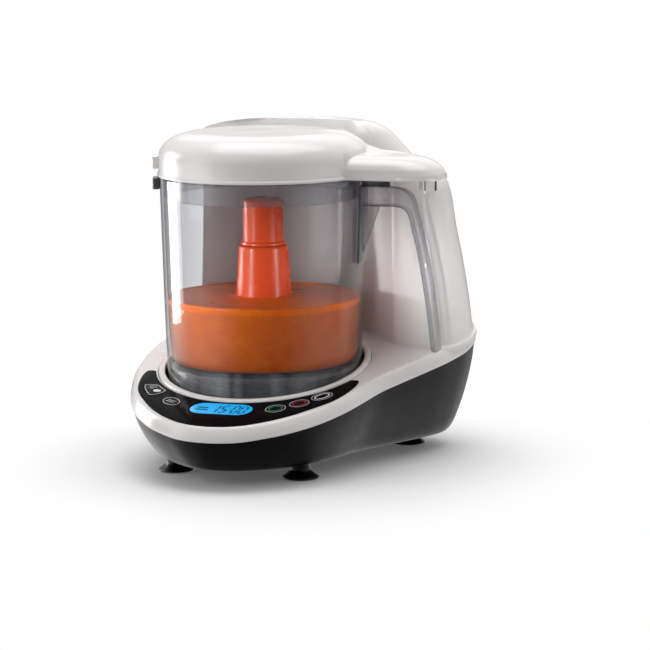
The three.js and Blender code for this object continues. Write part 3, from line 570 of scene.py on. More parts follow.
PUREE = orange_puree("puree")
LINER_CLEAR = seethrough("liner_clear", (0.88, 0.885, 0.90), (0.55, 0.56, 0.6),
                         haze=(0.7, 0.71, 0.74), haze_amt=0.13, rough=0.06)

# ================================================================== base
# plan points (x, y) of the body; the front right run is mirrored for the front left
FRONT = [[0, -115.5], [20, -112.5], [33, -105.5], [45, -97], [55, -87], [63, -77], [70, -65],
         [76, -52], [81, -38]]
REAR = [[87, -20], [96, -2], [107, 18], [118, 40], [124.5, 62], [122.5, 86], [108, 105],
        [84, 115.5], [52, 119.5], [18, 120], [-16, 117], [-45, 107], [-67, 89], [-81, 63],
        [-87.5, 36], [-89, 10], [-86, -20]]
OUTLINE = spline(FRONT + REAR + [[-x, y] for x, y in FRONT[1:][::-1]], 420)


def lower_housing():
    """Outer wall from the bottom up to the parting line, then back down the inside."""
    share = np.linspace(0, 1, 44)
    depth = monotone([0, 0.06, 0.25, 0.52, 0.8, 1.0], [19.5, 16.6, 11.6, 6.4, 2.6, 0.9], share)
    # (inset, share of the wall's height)
    section = [(21.0, 0.004), (20.2, 0.0), *zip(depth, np.maximum(share, 0.004)),
               (1.3, 1.003), (2.2, 1.003), (3.6, 0.99), (6.0, 0.8), (10, 0.52), (15.5, 0.25),
               (20.5, 0.06), (21.3, 0.02)]
    rows = []
    for depth, share in section:
        ring = inset(OUTLINE, depth)
        wall = incline(ring[:, 1], Z_PART) - Z_FLOOR
        rows.append(at_height(ring, Z_FLOOR + wall * share))
    return np.vstack(rows), grid_faces(len(rows), len(OUTLINE), wrap_rows=True)


def deck_shape():
    """Round inner edge, inclined top, rounded outer band, parting edge and underside."""
    bearing = np.arctan2(OUTLINE[:, 1], OUTLINE[:, 0])
    circle = np.stack([np.cos(bearing), np.sin(bearing)], 1)
    # (ring, height at the bowl axis)
    rings = [(circle * radius, z)
             for radius, z in [(71.2, 60.5), (71.2, 63.6), (71.45, 64.15), (72.0, Z_DECK)]]
    top_edge = inset(OUTLINE, 5.2)
    rings += [(blend(circle * 72.0, top_edge, w), Z_DECK) for w in np.linspace(0.12, 1.0, 9)]
    # outer band and parting edge: (inset, height)
    band = [[4.4, 64.22], [3.2, 63.6], [2.1, 62.3], [1.2, 60.5], [0.6, 58.5], [0.3, 56.8],
            [0.25, 55.6]]
    edge = [(0.45, 55.3), (0.9, 55.2), (2.6, 55.2), (3.0, 57.5), (4.0, 60.5), (6.4, 61.6)]
    for depth, z in [*monotone(range(7), band, np.linspace(0, 6, 22)), *edge]:
        rings.append((inset(OUTLINE, depth), z))
    under_edge = inset(OUTLINE, 6.4)
    rings += [(blend(under_edge, circle * 73.6, w), 61.6) for w in (0.25, 0.5, 0.75, 1.0)]
    rows = [at_height(ring, incline(ring[:, 1], z)) for ring, z in rings]
    return np.vstack(rows), grid_faces(len(rows), len(OUTLINE), wrap_rows=True)


put("lower_housing_skin", lower_housing(), CHARCOAL, "base", "lower_housing")
deck = put("deck_skin", deck_shape(), WHITE, "base")

# ================================================================== tower
# z, then 15 (x, y) pairs round the outer wall from the right corner by the rear to the left tip
TOWER = np.array([
    [60, 78, 42, 92, 38, 107, 38.5, 118.5, 45, 125, 62, 122.5, 83, 109, 103, 84, 114.6,
     52, 118.3, 18, 118.6, -16, 115.2, -43, 104, -60, 86, -67, 60, -64, 42.5],
    [90, 78, 42, 92, 38, 107, 38.5, 117.5, 45.5, 123, 62, 120.5, 81, 107, 100.5, 82, 112.8,
     51, 116.6, 18, 117, -15, 113.4, -40, 102, -57, 82, -64.5, 60.5, -62, 43.5],
    [128, 78, 42, 92, 38.4, 106, 39, 114.8, 46, 119, 60, 116, 76.5, 103.5, 96.5, 79, 110.8,
     50, 115, 18, 115.6, -14, 111.8, -38, 100.5, -54, 81, -62, 59, -61, 44.8],
    [150, 78, 42, 91, 38.8, 104, 39.4, 112.4, 46, 115.5, 58.5, 112, 74.5, 99.5, 94, 77, 109.4,
     49, 114, 18, 114.8, -14, 111, -37, 99.6, -52, 80.5, -60.5, 58.5, -60.6, 45.4],
    [176, 78, 42, 90, 39, 102, 39.8, 110, 46.2, 112, 57.5, 108.2, 71.5, 96.2, 90.5, 75, 108,
     48, 113, 18, 114, -14, 110.2, -36, 98.7, -50.5, 79.5, -59.3, 59.5, -60.4, 45.8],
    [183, 77.5, 42.6, 89, 39.8, 100.5, 41, 107.8, 47.4, 109.4, 57.5, 105.6, 71, 94, 89.5,
     74, 107.4, 48, 112.6, 18, 113.7, -14, 110, -36, 98.4, -50.2, 79.3, -59.2, 60, -60.4, 45.9],
    [187, 76, 45, 86.5, 42.4, 96.5, 44.2, 102.8, 49.8, 104, 58, 100.4, 70.4, 90.5, 87.5,
     72.6, 106.4, 47.6, 112.1, 18, 113.4, -14, 109.7, -35.7, 98.2, -49.5, 79, -59, 60.3,
     -60.5, 46],
    [187.8, 60, 52, 68, 57, 78, 62, 86, 67, 89.5, 75, 86.5, 88, 79, 98, 67, 106.2,
     46.6, 111.3, 18, 113, -14, 109.4, -35.5, 98, -49.5, 79, -59, 60.3, -60.5, 46],
    [199, 59.5, 52.5, 65.5, 57, 72, 62.5, 76.5, 69, 78, 77, 75.5, 87.5, 69, 96.3, 60, 103.5,
     43.5, 109, 18, 111.3, -12.6, 108, -34, 96, -48, 79, -59, 61, -60.6, 46.6],
    [208, 58.5, 53.3, 63, 57.5, 67, 63, 69.5, 69.5, 70.2, 77, 67.5, 86, 61.7, 93.6, 54, 99.6,
     40, 105.2, 18, 108, -10.5, 105, -31, 93.5, -46.5, 77, -58.5, 59, -61.8, 45.2],
    [214.5, 56.5, 55.3, 59.8, 59, 62.3, 64, 63.5, 70, 63.6, 76.5, 61, 84, 56, 90.4, 49, 95.6,
     37, 100.6, 17.6, 103.3, -8, 100.7, -28, 90, -43, 74.5, -56, 58, -61, 46.6],
    [218.6, 53, 58.3, 55.2, 61.5, 56.4, 65.5, 56.8, 70.3, 56.3, 75.6, 53.7, 81.6, 49.2, 86.7,
     43, 91.1, 33, 95.2, 17, 97.3, -5, 95.2, -21, 87, -37.5, 73, -46.5, 64.5, -52, 57],
    [220.8, 47.5, 62.8, 48.8, 64.9, 49.3, 67.5, 49.2, 70.6, 48.2, 74.5, 45.6, 78.6, 41.4, 82.3,
     36, 85.6, 28, 88.6, 16, 90, -1.5, 88.4, -14.5, 83.2, -24, 78.6, -31, 73, -35, 68],
])
# least distance from the bowl axis of the last points of every level
LEFT_CLEARANCE = {14: 75.4, 13: 79.0, 12: 82.0}
INNER_RADIUS = 75.2     # wall beside the bowl
RUN = 130               # points along the outer run, and along the inner one


def inner_run(right, left, lift):
    """Wall round the bowl from the left tip to the right corner."""
    angle0, angle1 = math.atan2(left[1], left[0]), math.atan2(right[1], right[0])
    base = INNER_RADIUS + lift
    t = np.linspace(0, 1, RUN)
    radius = (base + np.clip((t - 0.55) / 0.45, 0, None) ** 2 * (np.linalg.norm(right) - base)
              + np.clip((0.18 - t) / 0.18, 0, None) * (np.linalg.norm(left) - base))
    angle = angle0 + (angle1 - angle0) * t
    return np.stack([radius * np.cos(angle), radius * np.sin(angle)], 1)


def tower_rings():
    """Heights and plan rings, spaced by the length of the wall between the levels."""
    heights = TOWER[:, 0]
    levels = TOWER[:, 1:].reshape(len(TOWER), -1, 2).copy()
    for j, least in LEFT_CLEARANCE.items():
        distance = np.linalg.norm(levels[:, j], axis=1)
        levels[:, j] *= np.maximum(1.0, least / distance)[:, None]
    drift = np.abs(np.diff(levels, axis=0)).mean((1, 2))
    path = np.concatenate([[0], np.cumsum(np.sqrt(np.diff(heights) ** 2 + drift**2 * 2))])
    fine = np.unique(np.concatenate([np.linspace(a, b, 10) for a, b in zip(path, path[1:])]))
    ring_z = monotone(path, heights, fine)
    rings = []
    for z, level in zip(ring_z, monotone(path, levels, fine)):
        lift = max(0.0, (z - 208) / 12.8) ** 2 * 3
        outer = spline(level, RUN, closed=False, dense=24)
        ring = np.vstack([outer, inner_run(level[0], level[-1], lift)[1:-1]])
        # the right corner and the left tip are softened by a short running mean
        corners = np.isin(np.arange(len(ring)), [0, 1, len(ring) - 1, RUN - 1, RUN - 2, RUN])
        for _ in range(3):
            mean = (np.roll(ring, 1, 0) + ring + np.roll(ring, -1, 0)) / 3
            ring = np.where(corners[:, None], mean, ring)
        rings.append(ring)
    return ring_z, np.array(rings)


def tower_shape():
    ring_z, rings = tower_rings()
    count = rings.shape[1]

    def ring_at(z):
        """Ring where each point has its own height."""
        z = np.broadcast_to(z, (count,))
        k = np.clip(np.searchsorted(ring_z, z, side="right") - 1, 0, len(ring_z) - 2)
        weight = ((z - ring_z[k]) / (ring_z[k + 1] - ring_z[k]))[:, None]
        j = np.arange(count)
        return blend(rings[k, j], rings[k + 1, j], weight)

    rows = []
    # flared foot on the deck: (height above the deck, flare)
    foot = [(-2.4, 2.6), (-0.05, 2.5), (0.12, 1.75), (0.45, 1.1), (1.0, 0.55), (1.8, 0.18),
            (2.8, 0.0)]
    share = np.ones(count)
    share[RUN - 6:] = 0.35      # less flare beside the bowl, clear of the seat ring
    for height, flare in foot:
        ring = ring_at(75.0)
        for _ in range(3):
            ring = ring_at(np.maximum(incline(ring[:, 1]) + height, 60.0))
        ring = inset(ring, -(flare * share)[:, None])
        rows.append(at_height(ring, incline(ring[:, 1]) + height))
    # from the inclined foot to a level ring
    for t in np.linspace(0.06, 1, 14):
        ring = rows[-1][:, :2]
        for _ in range(3):
            z = blend(incline(ring[:, 1]) + 2.8, 112.0, t)
            ring = ring_at(z)
        rows.append(at_height(ring, z))
    rows += [at_height(ring, z) for z, ring in zip(ring_z, rings) if z > 113]
    faces = grid_faces(len(rows), count)
    base = len(rows) * count
    # crowned top between the outer and the inner run
    last = rings[-1]
    outer = last[:RUN]
    inner = np.vstack([last[:1], last[RUN:][::-1], last[RUN - 1:RUN]])
    strips = 16
    crown = np.sin(np.linspace(0, np.pi, RUN)) ** 0.5
    for j in range(strips + 1):
        w = j / strips
        z = ring_z[-1] + 0.45 * (4 * w * (1 - w)) * crown
        rows.append(at_height(blend(outer, inner, w), z))
    faces += grid_faces(strips + 1, RUN, wrap_cols=False, base=base)
    faces.append(list(range(count))[::-1])      # floor, below the deck
    return np.vstack(rows), faces


tower = put("tower_skin", tower_shape(), WHITE, "base", weld=0.002, angle=50)


# ================================================================== panel, keys, display
def panel_outline(count=150):
    """Plan of the panel: two mirrored sides and an arc round the bowl seat."""
    side = [[0, -111.1], [10, -110.2], [20, -107.4], [28, -103.1], [38, -96.1], [48.5, -86.1],
            [55.6, -77.1], [63.5, -66.1], [68.4, -57], [72.2, -45], [74.2, -32], [73.4, -25.5],
            [70.2, -24.6]]
    right = spline(side, count, closed=False)
    left = right[1:][::-1] * [-1, 1]
    angle = np.radians(np.linspace(-20.5, -159.5, count))
    arc = np.stack([72.4 * np.cos(angle), 72.4 * np.sin(angle)], 1)
    outline = np.vstack([left, right, arc])
    gaps = np.linalg.norm(np.roll(outline, -1, 0) - outline, axis=1)
    return outline[gaps > 0.05]


def oval(centre_x, centre_y, half_x, half_y, turn=0.0, count=72):
    angle = around(count)
    x, y = half_x * np.cos(angle), half_y * np.sin(angle)
    c, s = math.cos(turn), math.sin(turn)
    return np.stack([centre_x + x * c - y * s, centre_y + x * s + y * c], 1)


def pill(centre, half_x, half_y, count=28):
    angle = np.linspace(-np.pi / 2, np.pi / 2, count)
    x, y = centre
    right = np.stack([x + (half_x - half_y) + half_y * np.cos(angle), y + half_y * np.sin(angle)],
                     1)
    return np.vstack([right, 2 * np.array(centre) - right])


def clean_key(grow):
    corners = [[-66, -50.8], [-61, -49.4], [-56.4, -50], [-51.6, -54.6], [-47.4, -59.4],
               [-50, -65], [-55.4, -68], [-61.4, -61.6]]
    return inset(spline(corners[::-1], 84), -grow)


# plan outline of each key, grown by so many mm
KEYS = {
    "clean_button": clean_key,
    "blend_button": lambda grow: oval(-37.6, -76, 8 + grow, 5.6 + grow, -0.72),
    "steam_button": lambda grow: oval(34.6, -79.3, 7.4 + grow, 6.4 + grow, 0.7),
    "stop_button": lambda grow: oval(47.2, -68.9, 7.4 + grow, 6.2 + grow, 0.85),
    "auto_button": lambda grow: oval(58.2, -55.6, 8.4 + grow, 6 + grow, 1.02),
}
KEY_GAP = 0.3
KEY_TOP = 1.1               # above the deck plane
DISPLAY = (-1.0, -83.0)     # centre in plan
DISPLAY_HALF = (20.9, 8.8)
DISPLAY_GAP = 0.2

openings = [outline(KEY_GAP) for outline in KEYS.values()]
openings.append(pill(DISPLAY, *(half + DISPLAY_GAP for half in DISPLAY_HALF)))
cutters = [tablet(flatten(outline), -9.0, 4.0, bevel=0.01, steps=2) for outline in openings]
cutter = put("cutter_tmp", on_deck(merge(*cutters)), PANEL_BLACK, "base")
panel = put("control_panel_gloss",
            on_deck(tablet(flatten(panel_outline()), -0.8, 0.7, bevel=0.4, steps=5)),
            PANEL_BLACK, "base", "control_panel")
cut_away(panel, cutter)
cut_away(deck, cutter)
bpy.data.objects.remove(cutter)

put("display_lens", on_deck(tablet(flatten(pill(DISPLAY, *DISPLAY_HALF)), -0.9, 0.55, steps=5)),
    DISPLAY_BLUE, "base", "display_window")


def stroke(x0, y0, x1, y1, width, z=0.56):
    """A thin bar with pointed ends, in the deck's frame."""
    start, end = np.array([x0, y0]), np.array([x1, y1])
    along = (end - start) / np.linalg.norm(end - start)
    side = np.array([-along[1], along[0]]) * width / 2
    tip = along * width / 2
    outline = np.array([start, start + tip - side, end - tip - side,
                        end, end - tip + side, start + tip + side])
    return (np.vstack([at_height(outline, z - 0.1), at_height(outline, z + 0.04)]),
            capped_faces(2, 6))


# segments of a figure as shares of its width and height: x0, x1, y0, y1
SEGMENTS = {"a": (0.08, 0.92, 1.0, 1.0), "d": (0.08, 0.92, 0.0, 0.0), "g": (0.08, 0.92, 0.5, 0.5),
            "f": (0, 0, 0.54, 0.94), "b": (1, 1, 0.54, 0.94), "e": (0, 0, 0.06, 0.46),
            "c": (1, 1, 0.06, 0.46)}
LIT = {"1": "bc", "5": "afgcd", "0": "abcdef"}
FIGURES = (("1", -7.1), ("5", -1.3), ("0", 6.4), ("0", 11.7))      # figure, left edge
FIGURE_WIDTH, FIGURE_HEIGHT = 3.3, 11.2
LEAN = 0.16                 # sideways per mm of height


def display_figures():
    """15:00 in leaning seven-segment figures, with two bars to their left."""
    line = DISPLAY[1] / COS - 4.1
    foot = line - 1.9
    bars = []
    for figure, left in FIGURES:
        for key in LIT[figure]:
            x0, x1, y0, y1 = SEGMENTS[key]
            y0, y1 = y0 * FIGURE_HEIGHT, y1 * FIGURE_HEIGHT
            bars.append(stroke(left + x0 * FIGURE_WIDTH + y0 * LEAN, foot + y0,
                               left + x1 * FIGURE_WIDTH + y1 * LEAN, foot + y1, 0.95, 0.6))
    for y in (1.2, 5.2):
        x = 3.7 + y * LEAN
        bars.append(stroke(x, line + y, x + 0.6, line + y + 0.01, 0.9))
    for x0, x1, y in ((-17.6, -9.8, 5.2), (-18.4, -9.0, 1.8)):
        bars.append(stroke(x0, line + y, x1, line + y, 1.5))
    return merge(*bars)


def printed_loop(outline, width):
    """A printed line along a plan outline, on top of a key."""
    outline = flatten(outline)
    outer, inner = inset(outline, -width / 2), inset(outline, width / 2)
    low, high = KEY_TOP - 0.15, KEY_TOP + 0.09
    rings = [at_height(ring, z)
             for ring, z in ((outer, low), (outer, high), (inner, high), (inner, low))]
    return on_deck((np.vstack(rings), grid_faces(4, len(outline), wrap_rows=True)))


def printed_bars(bars):
    """Bars on a key, each (x0, y0, x1, y1, width) in plan."""
    return on_deck(merge(*(stroke(x0, y0 / COS, x1, y1 / COS, width, KEY_TOP)
                           for x0, y0, x1, y1, width in bars)))


put("display_figures", on_deck(display_figures()), SEGMENT, "base", angle=20)
for name, outline in KEYS.items():
    cap = tablet(flatten(outline(0.0)), -5.2, KEY_TOP, bevel=0.5, steps=6)
    put(name + "_cap", on_deck(cap), KEY_BLACK, name, name)
    put(name + "_outline", printed_loop(outline(-0.85), 0.5), PRINT_GREY, name)
for name, material in (("steam_button", RING_GREEN), ("stop_button", RING_RED),
                       ("auto_button", PRINT_WHITE)):
    put(name + "_ring", printed_loop(KEYS[name](-2.9), 0.85), material, name)
pip = tablet(flatten(oval(-53.6, -60.2, 2.9, 1.75, -0.2)), KEY_TOP - 0.2, KEY_TOP + 0.28,
             bevel=0.22)
put("clean_button_pip", on_deck(pip), PRINT_WHITE, "clean_button")
clean_marks = ((-62.2, -52.6, -56.8, -52.4, 0.55), (-61.4, -54.3, -55.6, -54.2, 0.55),
               (-60.2, -56.2, -57.8, -56.2, 0.7))
put("clean_button_marks", printed_bars(clean_marks), PRINT_GREY, "clean_button",
    angle=20)
blend_marks = [(-41.2 + k * 0.6, -74.2 + k, -34.6 + k * 0.6, -77.4 + k, 0.6) for k in (-0.9, 0.9)]
put("blend_button_marks", printed_bars(blend_marks), PRINT_GREY, "blend_button",
    angle=20)

# ================================================================== seat ring and seat cup
# Profiles from here on are (radius, z) points, followed by their corner radii.
bead = rounded([[66.5, -2.5], [70.9, -2.5], [70.9, 0.9], [69.6, 1.55], [67.4, 1.5], [66.5, 0.9]],
               [0.3, 0.3, 0.9, 0.9, 0.9, 0.7])
put("seat_ring_bead",
    revolve(bead, 200, lambda radius, z, angle: z + incline(radius * np.sin(angle))),
    WHITE, "base", "seat_ring")
RIM = 999       # stands for a height just under the inclined deck
cup = rounded([[14, 54], [53.5, 54], [53.5, 38], [70.6, 38], [70.6, RIM], [67.6, RIM],
               [67.6, 41], [56.5, 41], [56.5, 57], [14, 57]],
              [0.5, 1, 1, 1, 0, 0, 1, 1, 1, 0.5], steps=4)


def cup_height(radius, z, angle):
    return np.where(z == RIM, incline(radius * np.sin(angle)) - 3.0, z)


put("seat_cup_skin", revolve(cup, 200, cup_height), CHARCOAL, "base", "seat_cup")

# ================================================================== bowl
bowl = rounded([[7.3, 75.6], [14.6, 75.6], [14.6, 63.9], [62.4, 63.9], [62.4, 41.4],
                [64.6, 41.4], [65, 66], [65.6, 90], [66.4, 120], [67.3, 160], [68, 189.6],
                [65.8, 189.6], [65.1, 160], [64.2, 120], [63.3, 90], [62.4, 74], [61.4, 68.6],
                [59.6, 66.6], [17.2, 66.4], [17.2, 78.2], [7.3, 78.2]],
               [0.3, 1.2, 1, 1, 0.8, 0.8, 0, 0, 0, 0, 0.9, 0.9, 0, 0, 0, 2, 2, 2, 1.5, 1.5, 0.4])
put("work_bowl_clear", revolve(bowl, 168), BOWL_CLEAR, "bowl", "work_bowl")
put("bowl_lock_lug", block((67.6, 72.5), (-6.9, 6.9), (181.6, 189.3), 1.1, turn=LOCK_TURN),
    LUG_SMOKE, "bowl")
gasket = rounded([[57.6, 60.6], [61.9, 60.6], [61.9, 63.6], [57.6, 63.6]], 0.9)
put("floor_gasket_ring", revolve(gasket, 140), MATT_RUBBER, "bowl", "floor_gasket")

# puree fills the lower half of the bowl and climbs a little at the wall and the hub
fill = [[22.4, 67.0], [59.2, 67.0], [61.1, 69.0], [62.2, 74.4], [63.15, 90], [63.7, 104],
        [63.85, 107.5], [63.9, 109.4], [63.4, 109.9], [62.2, 109.2], [59.5, 108.9], [52, 108.8],
        [42, 108.9], [32, 109.0], [25, 109.0], [21, 109.4], [19.4, 110.3], [18.75, 110.2],
        [19.2, 106], [20.8, 92], [22.0, 80], [22.1, 73]]


def puree_height(radius, z, angle):
    """Ripples on the surface only."""
    ripple = (0.22 * np.sin(3 * angle + radius * 0.12) + 0.16 * np.sin(7 * angle - radius * 0.31)
              + 0.1 * np.sin(13 * angle + 1.3) * np.cos(radius * 0.5))
    return z + np.where(z > 107, ripple, 0)


put("puree_fill", revolve(fill, 180, puree_height), PUREE, "bowl", angle=60)

# ================================================================== handle
# (x, z) along the grip, from the bowl out and down: the side facing the bowl and the outer side
GRIP_INNER = [[68.9, 171.2], [78, 171.2], [86.3, 171.2], [91.7, 171.2], [96.4, 170.5],
              [99.8, 168.2], [101.8, 164.2], [103.8, 155.7], [106.1, 146.5], [109.1, 131.5],
              [111.8, 114.7], [113.7, 101.6], [115.2, 88], [116, 79]]
GRIP_OUTER = [[68.9, 184.8], [78, 184.8], [89.3, 184.6], [95.4, 183.9], [100.8, 181.3],
              [104.2, 176.3], [106.2, 168.7], [109.5, 156.3], [112.9, 140.6], [116.2, 122.9],
              [118.9, 102], [120.4, 90], [121, 79.5]]
GRIP_HALF_WIDTH = 6.4


def handle_grip():
    """Squarish sections along the grip, with a rounded lower tip."""
    count = 36
    angle = around(count)
    across, sideways = (np.sign(v) * np.abs(v) ** 0.45 for v in (np.cos(angle), np.sin(angle)))
    inner = spline(GRIP_INNER, 120, closed=False)
    outer = spline(GRIP_OUTER, 120, closed=False)
    middle, half = (inner + outer) / 2, (outer - inner) / 2

    def section(k, size=1.0, drop=0.0):
        return np.stack([middle[k, 0] + 0.2 * drop + half[k, 0] * across * size,
                         GRIP_HALF_WIDTH * sideways * (0.35 + 0.65 * size),
                         middle[k, 1] + half[k, 1] * across * size - drop], 1)

    rows = [section(k) for k in range(len(middle))]
    rows += [section(-1, size, drop) for size, drop in ((0.9, 1.3), (0.6, 2.3), (0.25, 2.75))]
    return np.vstack(rows), capped_faces(len(rows), count)


def side_plate(points, half_width, edge=0.5):
    """A plate in the handle's own plane, rounded all round. Points are (x, z)."""
    outline = rounded(points, 0.9)
    x, z = outline.T
    if np.sum(x * np.roll(z, -1) - np.roll(x, -1) * z) < 0:
        outline = outline[::-1]
    rings = []
    for depth, y in [(edge, -half_width), (edge * 0.3, -half_width + edge * 0.3),
                     (0, -half_width + edge), (0, half_width - edge),
                     (edge * 0.3, half_width - edge * 0.3), (edge, half_width)]:
        x, z = inset(outline, depth).T
        rings.append(np.column_stack([x, np.full(len(x), y), z]))
    return np.vstack(rings), capped_faces(len(rings), len(outline))


put("bowl_handle_grip", handle_grip(), SMOKE, "bowl", "bowl_handle", angle=55)
gusset = side_plate([[68.9, 171.6], [68.9, 140.5], [69.6, 139.8], [81, 171.6]], 1.6)
put("bowl_handle_gusset", gusset, SMOKE, "bowl")
pad = side_plate([[68.7, 184.8], [67.9, 152], [67.5, 133], [69.2, 134.5], [70.4, 171],
                  [70.6, 184.8]], 8.3)
put("bowl_handle_pad", pad, LUG_SMOKE, "bowl")
# dark smoke plate on the handle's top, with a thin rib below it: painted shade for the shadowed gap
# between the handle and the lid rim
gap_shade_plate = merge(block((68.9, 106.0), (-GRIP_HALF_WIDTH, GRIP_HALF_WIDTH), (188.3, 189.9), 0.5),
               block((68.9, 88.0), (-1.6, 1.6), (184.2, 188.6), 0.4))
put("bowl_handle_gap_shade", gap_shade_plate, LUG_SMOKE, "bowl")

# ================================================================== blade hub and cap
hub = rounded([[3.4, 82], [17.9, 82], [18.9, 73.4], [21.4, 73.4], [21.8, 80], [20.6, 92],
               [18.6, 109], [17.4, 126], [16.4, 142.6], [15.4, 143.6], [0.01, 143.6],
               [0.01, 129.5], [3.4, 129.5]],
              [0.3, 0.5, 0.8, 0.8, 2, 0, 0, 0, 1.0, 0.6, 0, 0, 0.3])
put("blade_hub_cone", revolve(hub, 96), ORANGE, "blades", "blade_hub", weld=0.03)
hub_cap = rounded([[0.01, 143.9], [14.6, 143.9], [14.4, 145.6], [13.35, 146.4], [13.3, 172.6],
                   [12.6, 174.2], [10.6, 174.75], [0.01, 174.8]],
                  [0, 0.4, 0.5, 0.8, 0.6, 0.6, 0.5, 0])
put("hub_cap_top", revolve(hub_cap, 96), ORANGE, "blades", "hub_cap", weld=0.03)

# ================================================================== lid
# One skin over the dome, the wing above the handle and a hump that blends them at the rear.
LID_RADIUS = 68.6
HUMP = np.array([[30, 0], [84, 12], [98, 22], [86, 31], [73, 40.5], [61.6, 47.6], [53, 50.2],
                 [40, 50]], float)     # plan
# wing stations: z, inset, x where the straight part ends
WING = np.array([[190.2, 0, 100.4], [193, 0.03, 99.9], [196.4, 0.1, 98.2], [199.6, 1.3, 96],
                 [202.3, 3.9, 93.6], [204, 7.6, 91.8], [204.9, 12, 89]])
WING_Z = np.linspace(190.2, 204.9, 60)
WING_LEVELS = monotone(WING[:, 0], WING[:, 1:], WING_Z)


# the distances below are signed: negative inside the outline
def hump_distance(x, y):
    distance = np.full(x.shape, 1e9)
    inside = np.zeros(x.shape, bool)
    for start, end in zip(HUMP, np.roll(HUMP, -1, 0)):
        edge_x, edge_y = end - start
        off_x, off_y = x - start[0], y - start[1]
        t = np.clip((off_x * edge_x + off_y * edge_y) / (edge_x**2 + edge_y**2), 0, 1)
        distance = np.minimum(distance, np.hypot(off_x - edge_x * t, off_y - edge_y * t))
        crossing = edge_x * off_y / (edge_y + 1e-12) + start[0]
        inside ^= ((start[1] > y) != (end[1] > y)) & (x < crossing)
    return np.where(inside, -distance, distance)


def wing_distance(x, y, depth=0.0, end=100.4):
    return np.hypot(x - np.clip(x, 50, end), y) - (25.0 - depth)


def wing_top(x, y):
    """Height of the wing over a plan point: the highest level whose outline still holds it."""
    distances = np.stack([wing_distance(x, y, depth, end) for depth, end in WING_LEVELS])
    outside = distances > 0
    k = np.clip(np.argmax(outside, axis=0), 1, len(WING_Z) - 1)
    below = np.take_along_axis(distances, (k - 1)[None], 0)[0]
    above = np.take_along_axis(distances, k[None], 0)[0]
    gap = above - below
    weight = np.clip(-below / np.where(np.abs(gap) < 1e-9, 1e-9, gap), 0, 1)
    z = WING_Z[k - 1] + weight * (WING_Z[k] - WING_Z[k - 1])
    z = np.where(outside.any(0), z, WING_Z[-1])
    return np.where(distances[0] > 0, 190.2 - distances[0] * 6, z)


def lid_distance(x, y):
    distance = smooth_min(np.hypot(x, y) - LID_RADIUS, wing_distance(x, y), 3.0)
    return smooth_min(distance, hump_distance(x, y), 5.0)


def lid_top(x, y):
    radius = np.hypot(x, y)
    t = np.clip((radius - 40) / (LID_RADIUS - 40), 0, 1)
    dome = (201.6 + 17.0 * np.clip(1 - t**2.4, 0, 1) ** (1 / 2.1)
            + 0.5 * (1 - (radius / LID_RADIUS) ** 2))
    dome = np.where(radius > LID_RADIUS, 201.6 - (radius - LID_RADIUS) * 9, dome)
    depth = -hump_distance(x, y)
    edge = np.clip(1 - depth / 10.0, 0, 1)
    rise = 7.5 + 9.5 * np.clip((82 - radius) / 26, 0, 1) ** 1.2
    hump = 197.5 + rise * np.sqrt(np.clip(1 - edge**2.0, 0, 1))
    hump = np.where(depth < 0, 197.5 + depth * 6, hump)
    z = smooth_max(smooth_max(dome, hump, 9.0), wing_top(x, y), 8.0)
    return np.maximum(z, 191.7)


def lid_outline():
    """Farthest point inside the lid on each bearing, finer on the wing's side."""
    degrees = [np.arange(-180, -30, 1.5), np.arange(-30, 60, 0.2), np.arange(60, 180, 1.5)]
    bearing = np.radians(np.unique(np.round(np.concatenate(degrees), 4)))
    reach = np.arange(60, 131, 0.05)
    c, s = np.cos(bearing), np.sin(bearing)
    inside = lid_distance(reach[None, :] * c[:, None], reach[None, :] * s[:, None]) < 0
    farthest = np.array([reach[np.where(row)[0].max()] for row in inside])
    outline = np.stack([farthest * c, farthest * s], 1)
    for _ in range(3):
        outline = (np.roll(outline, 1, 0) + 2 * outline + np.roll(outline, -1, 0)) / 4
    return outline


def lid_shape():
    """Top skin from the centre out, round the rim, and back to the centre underneath."""
    outline = lid_outline()
    normals = outward(outline)
    # the rim bead fades out at the wing's end
    fade = 1 - 0.95 * np.clip((outline[:, 0] - outline[:, 0].max() + 9.0) / 5.0, 0, 1)
    rows = []
    for s in np.linspace(0, 1, 190):
        ring = outline * (1 - (1 - s) ** 2.1)
        rows.append(at_height(ring, lid_top(*ring.T)))
    edge_z = rows[-1][:, 2]
    rows += [at_height(outline, blend(edge_z, 192.9, w)) for w in (0.15, 0.35, 0.6, 0.8, 1.0)]
    # rim bead: (distance outwards, z)
    for out, z in [(0.1, 192.55), (0.5, 192.3), (0.85, 192.1), (1.0, 191.7), (1.0, 190.9),
                   (0.75, 190.45), (0.3, 190.3), (-1.3, 190.3), (-1.7, 190.7)]:
        shift = (out * fade if out > 0 else np.full(len(outline), out))[:, None]
        if z > 191.7:
            z = np.minimum(z, np.maximum(edge_z, 190.3))
        rows.append(at_height(outline + normals * shift, z))
    inner = outline - normals * 2.2
    rows.append(at_height(inner, 192.0))
    rows.append(at_height(inner, np.maximum(lid_top(*inner.T) - 3.7, 192.5)))
    for s in np.linspace(0, 1, 24)[::-1]:
        ring = inner * (1 - (1 - s) ** 1.8)
        rows.append(at_height(ring, np.maximum(lid_top(*ring.T) - 2.4, 192.6 if s > 0.99 else 0)))
    return np.vstack(rows), grid_faces(len(rows), len(outline))


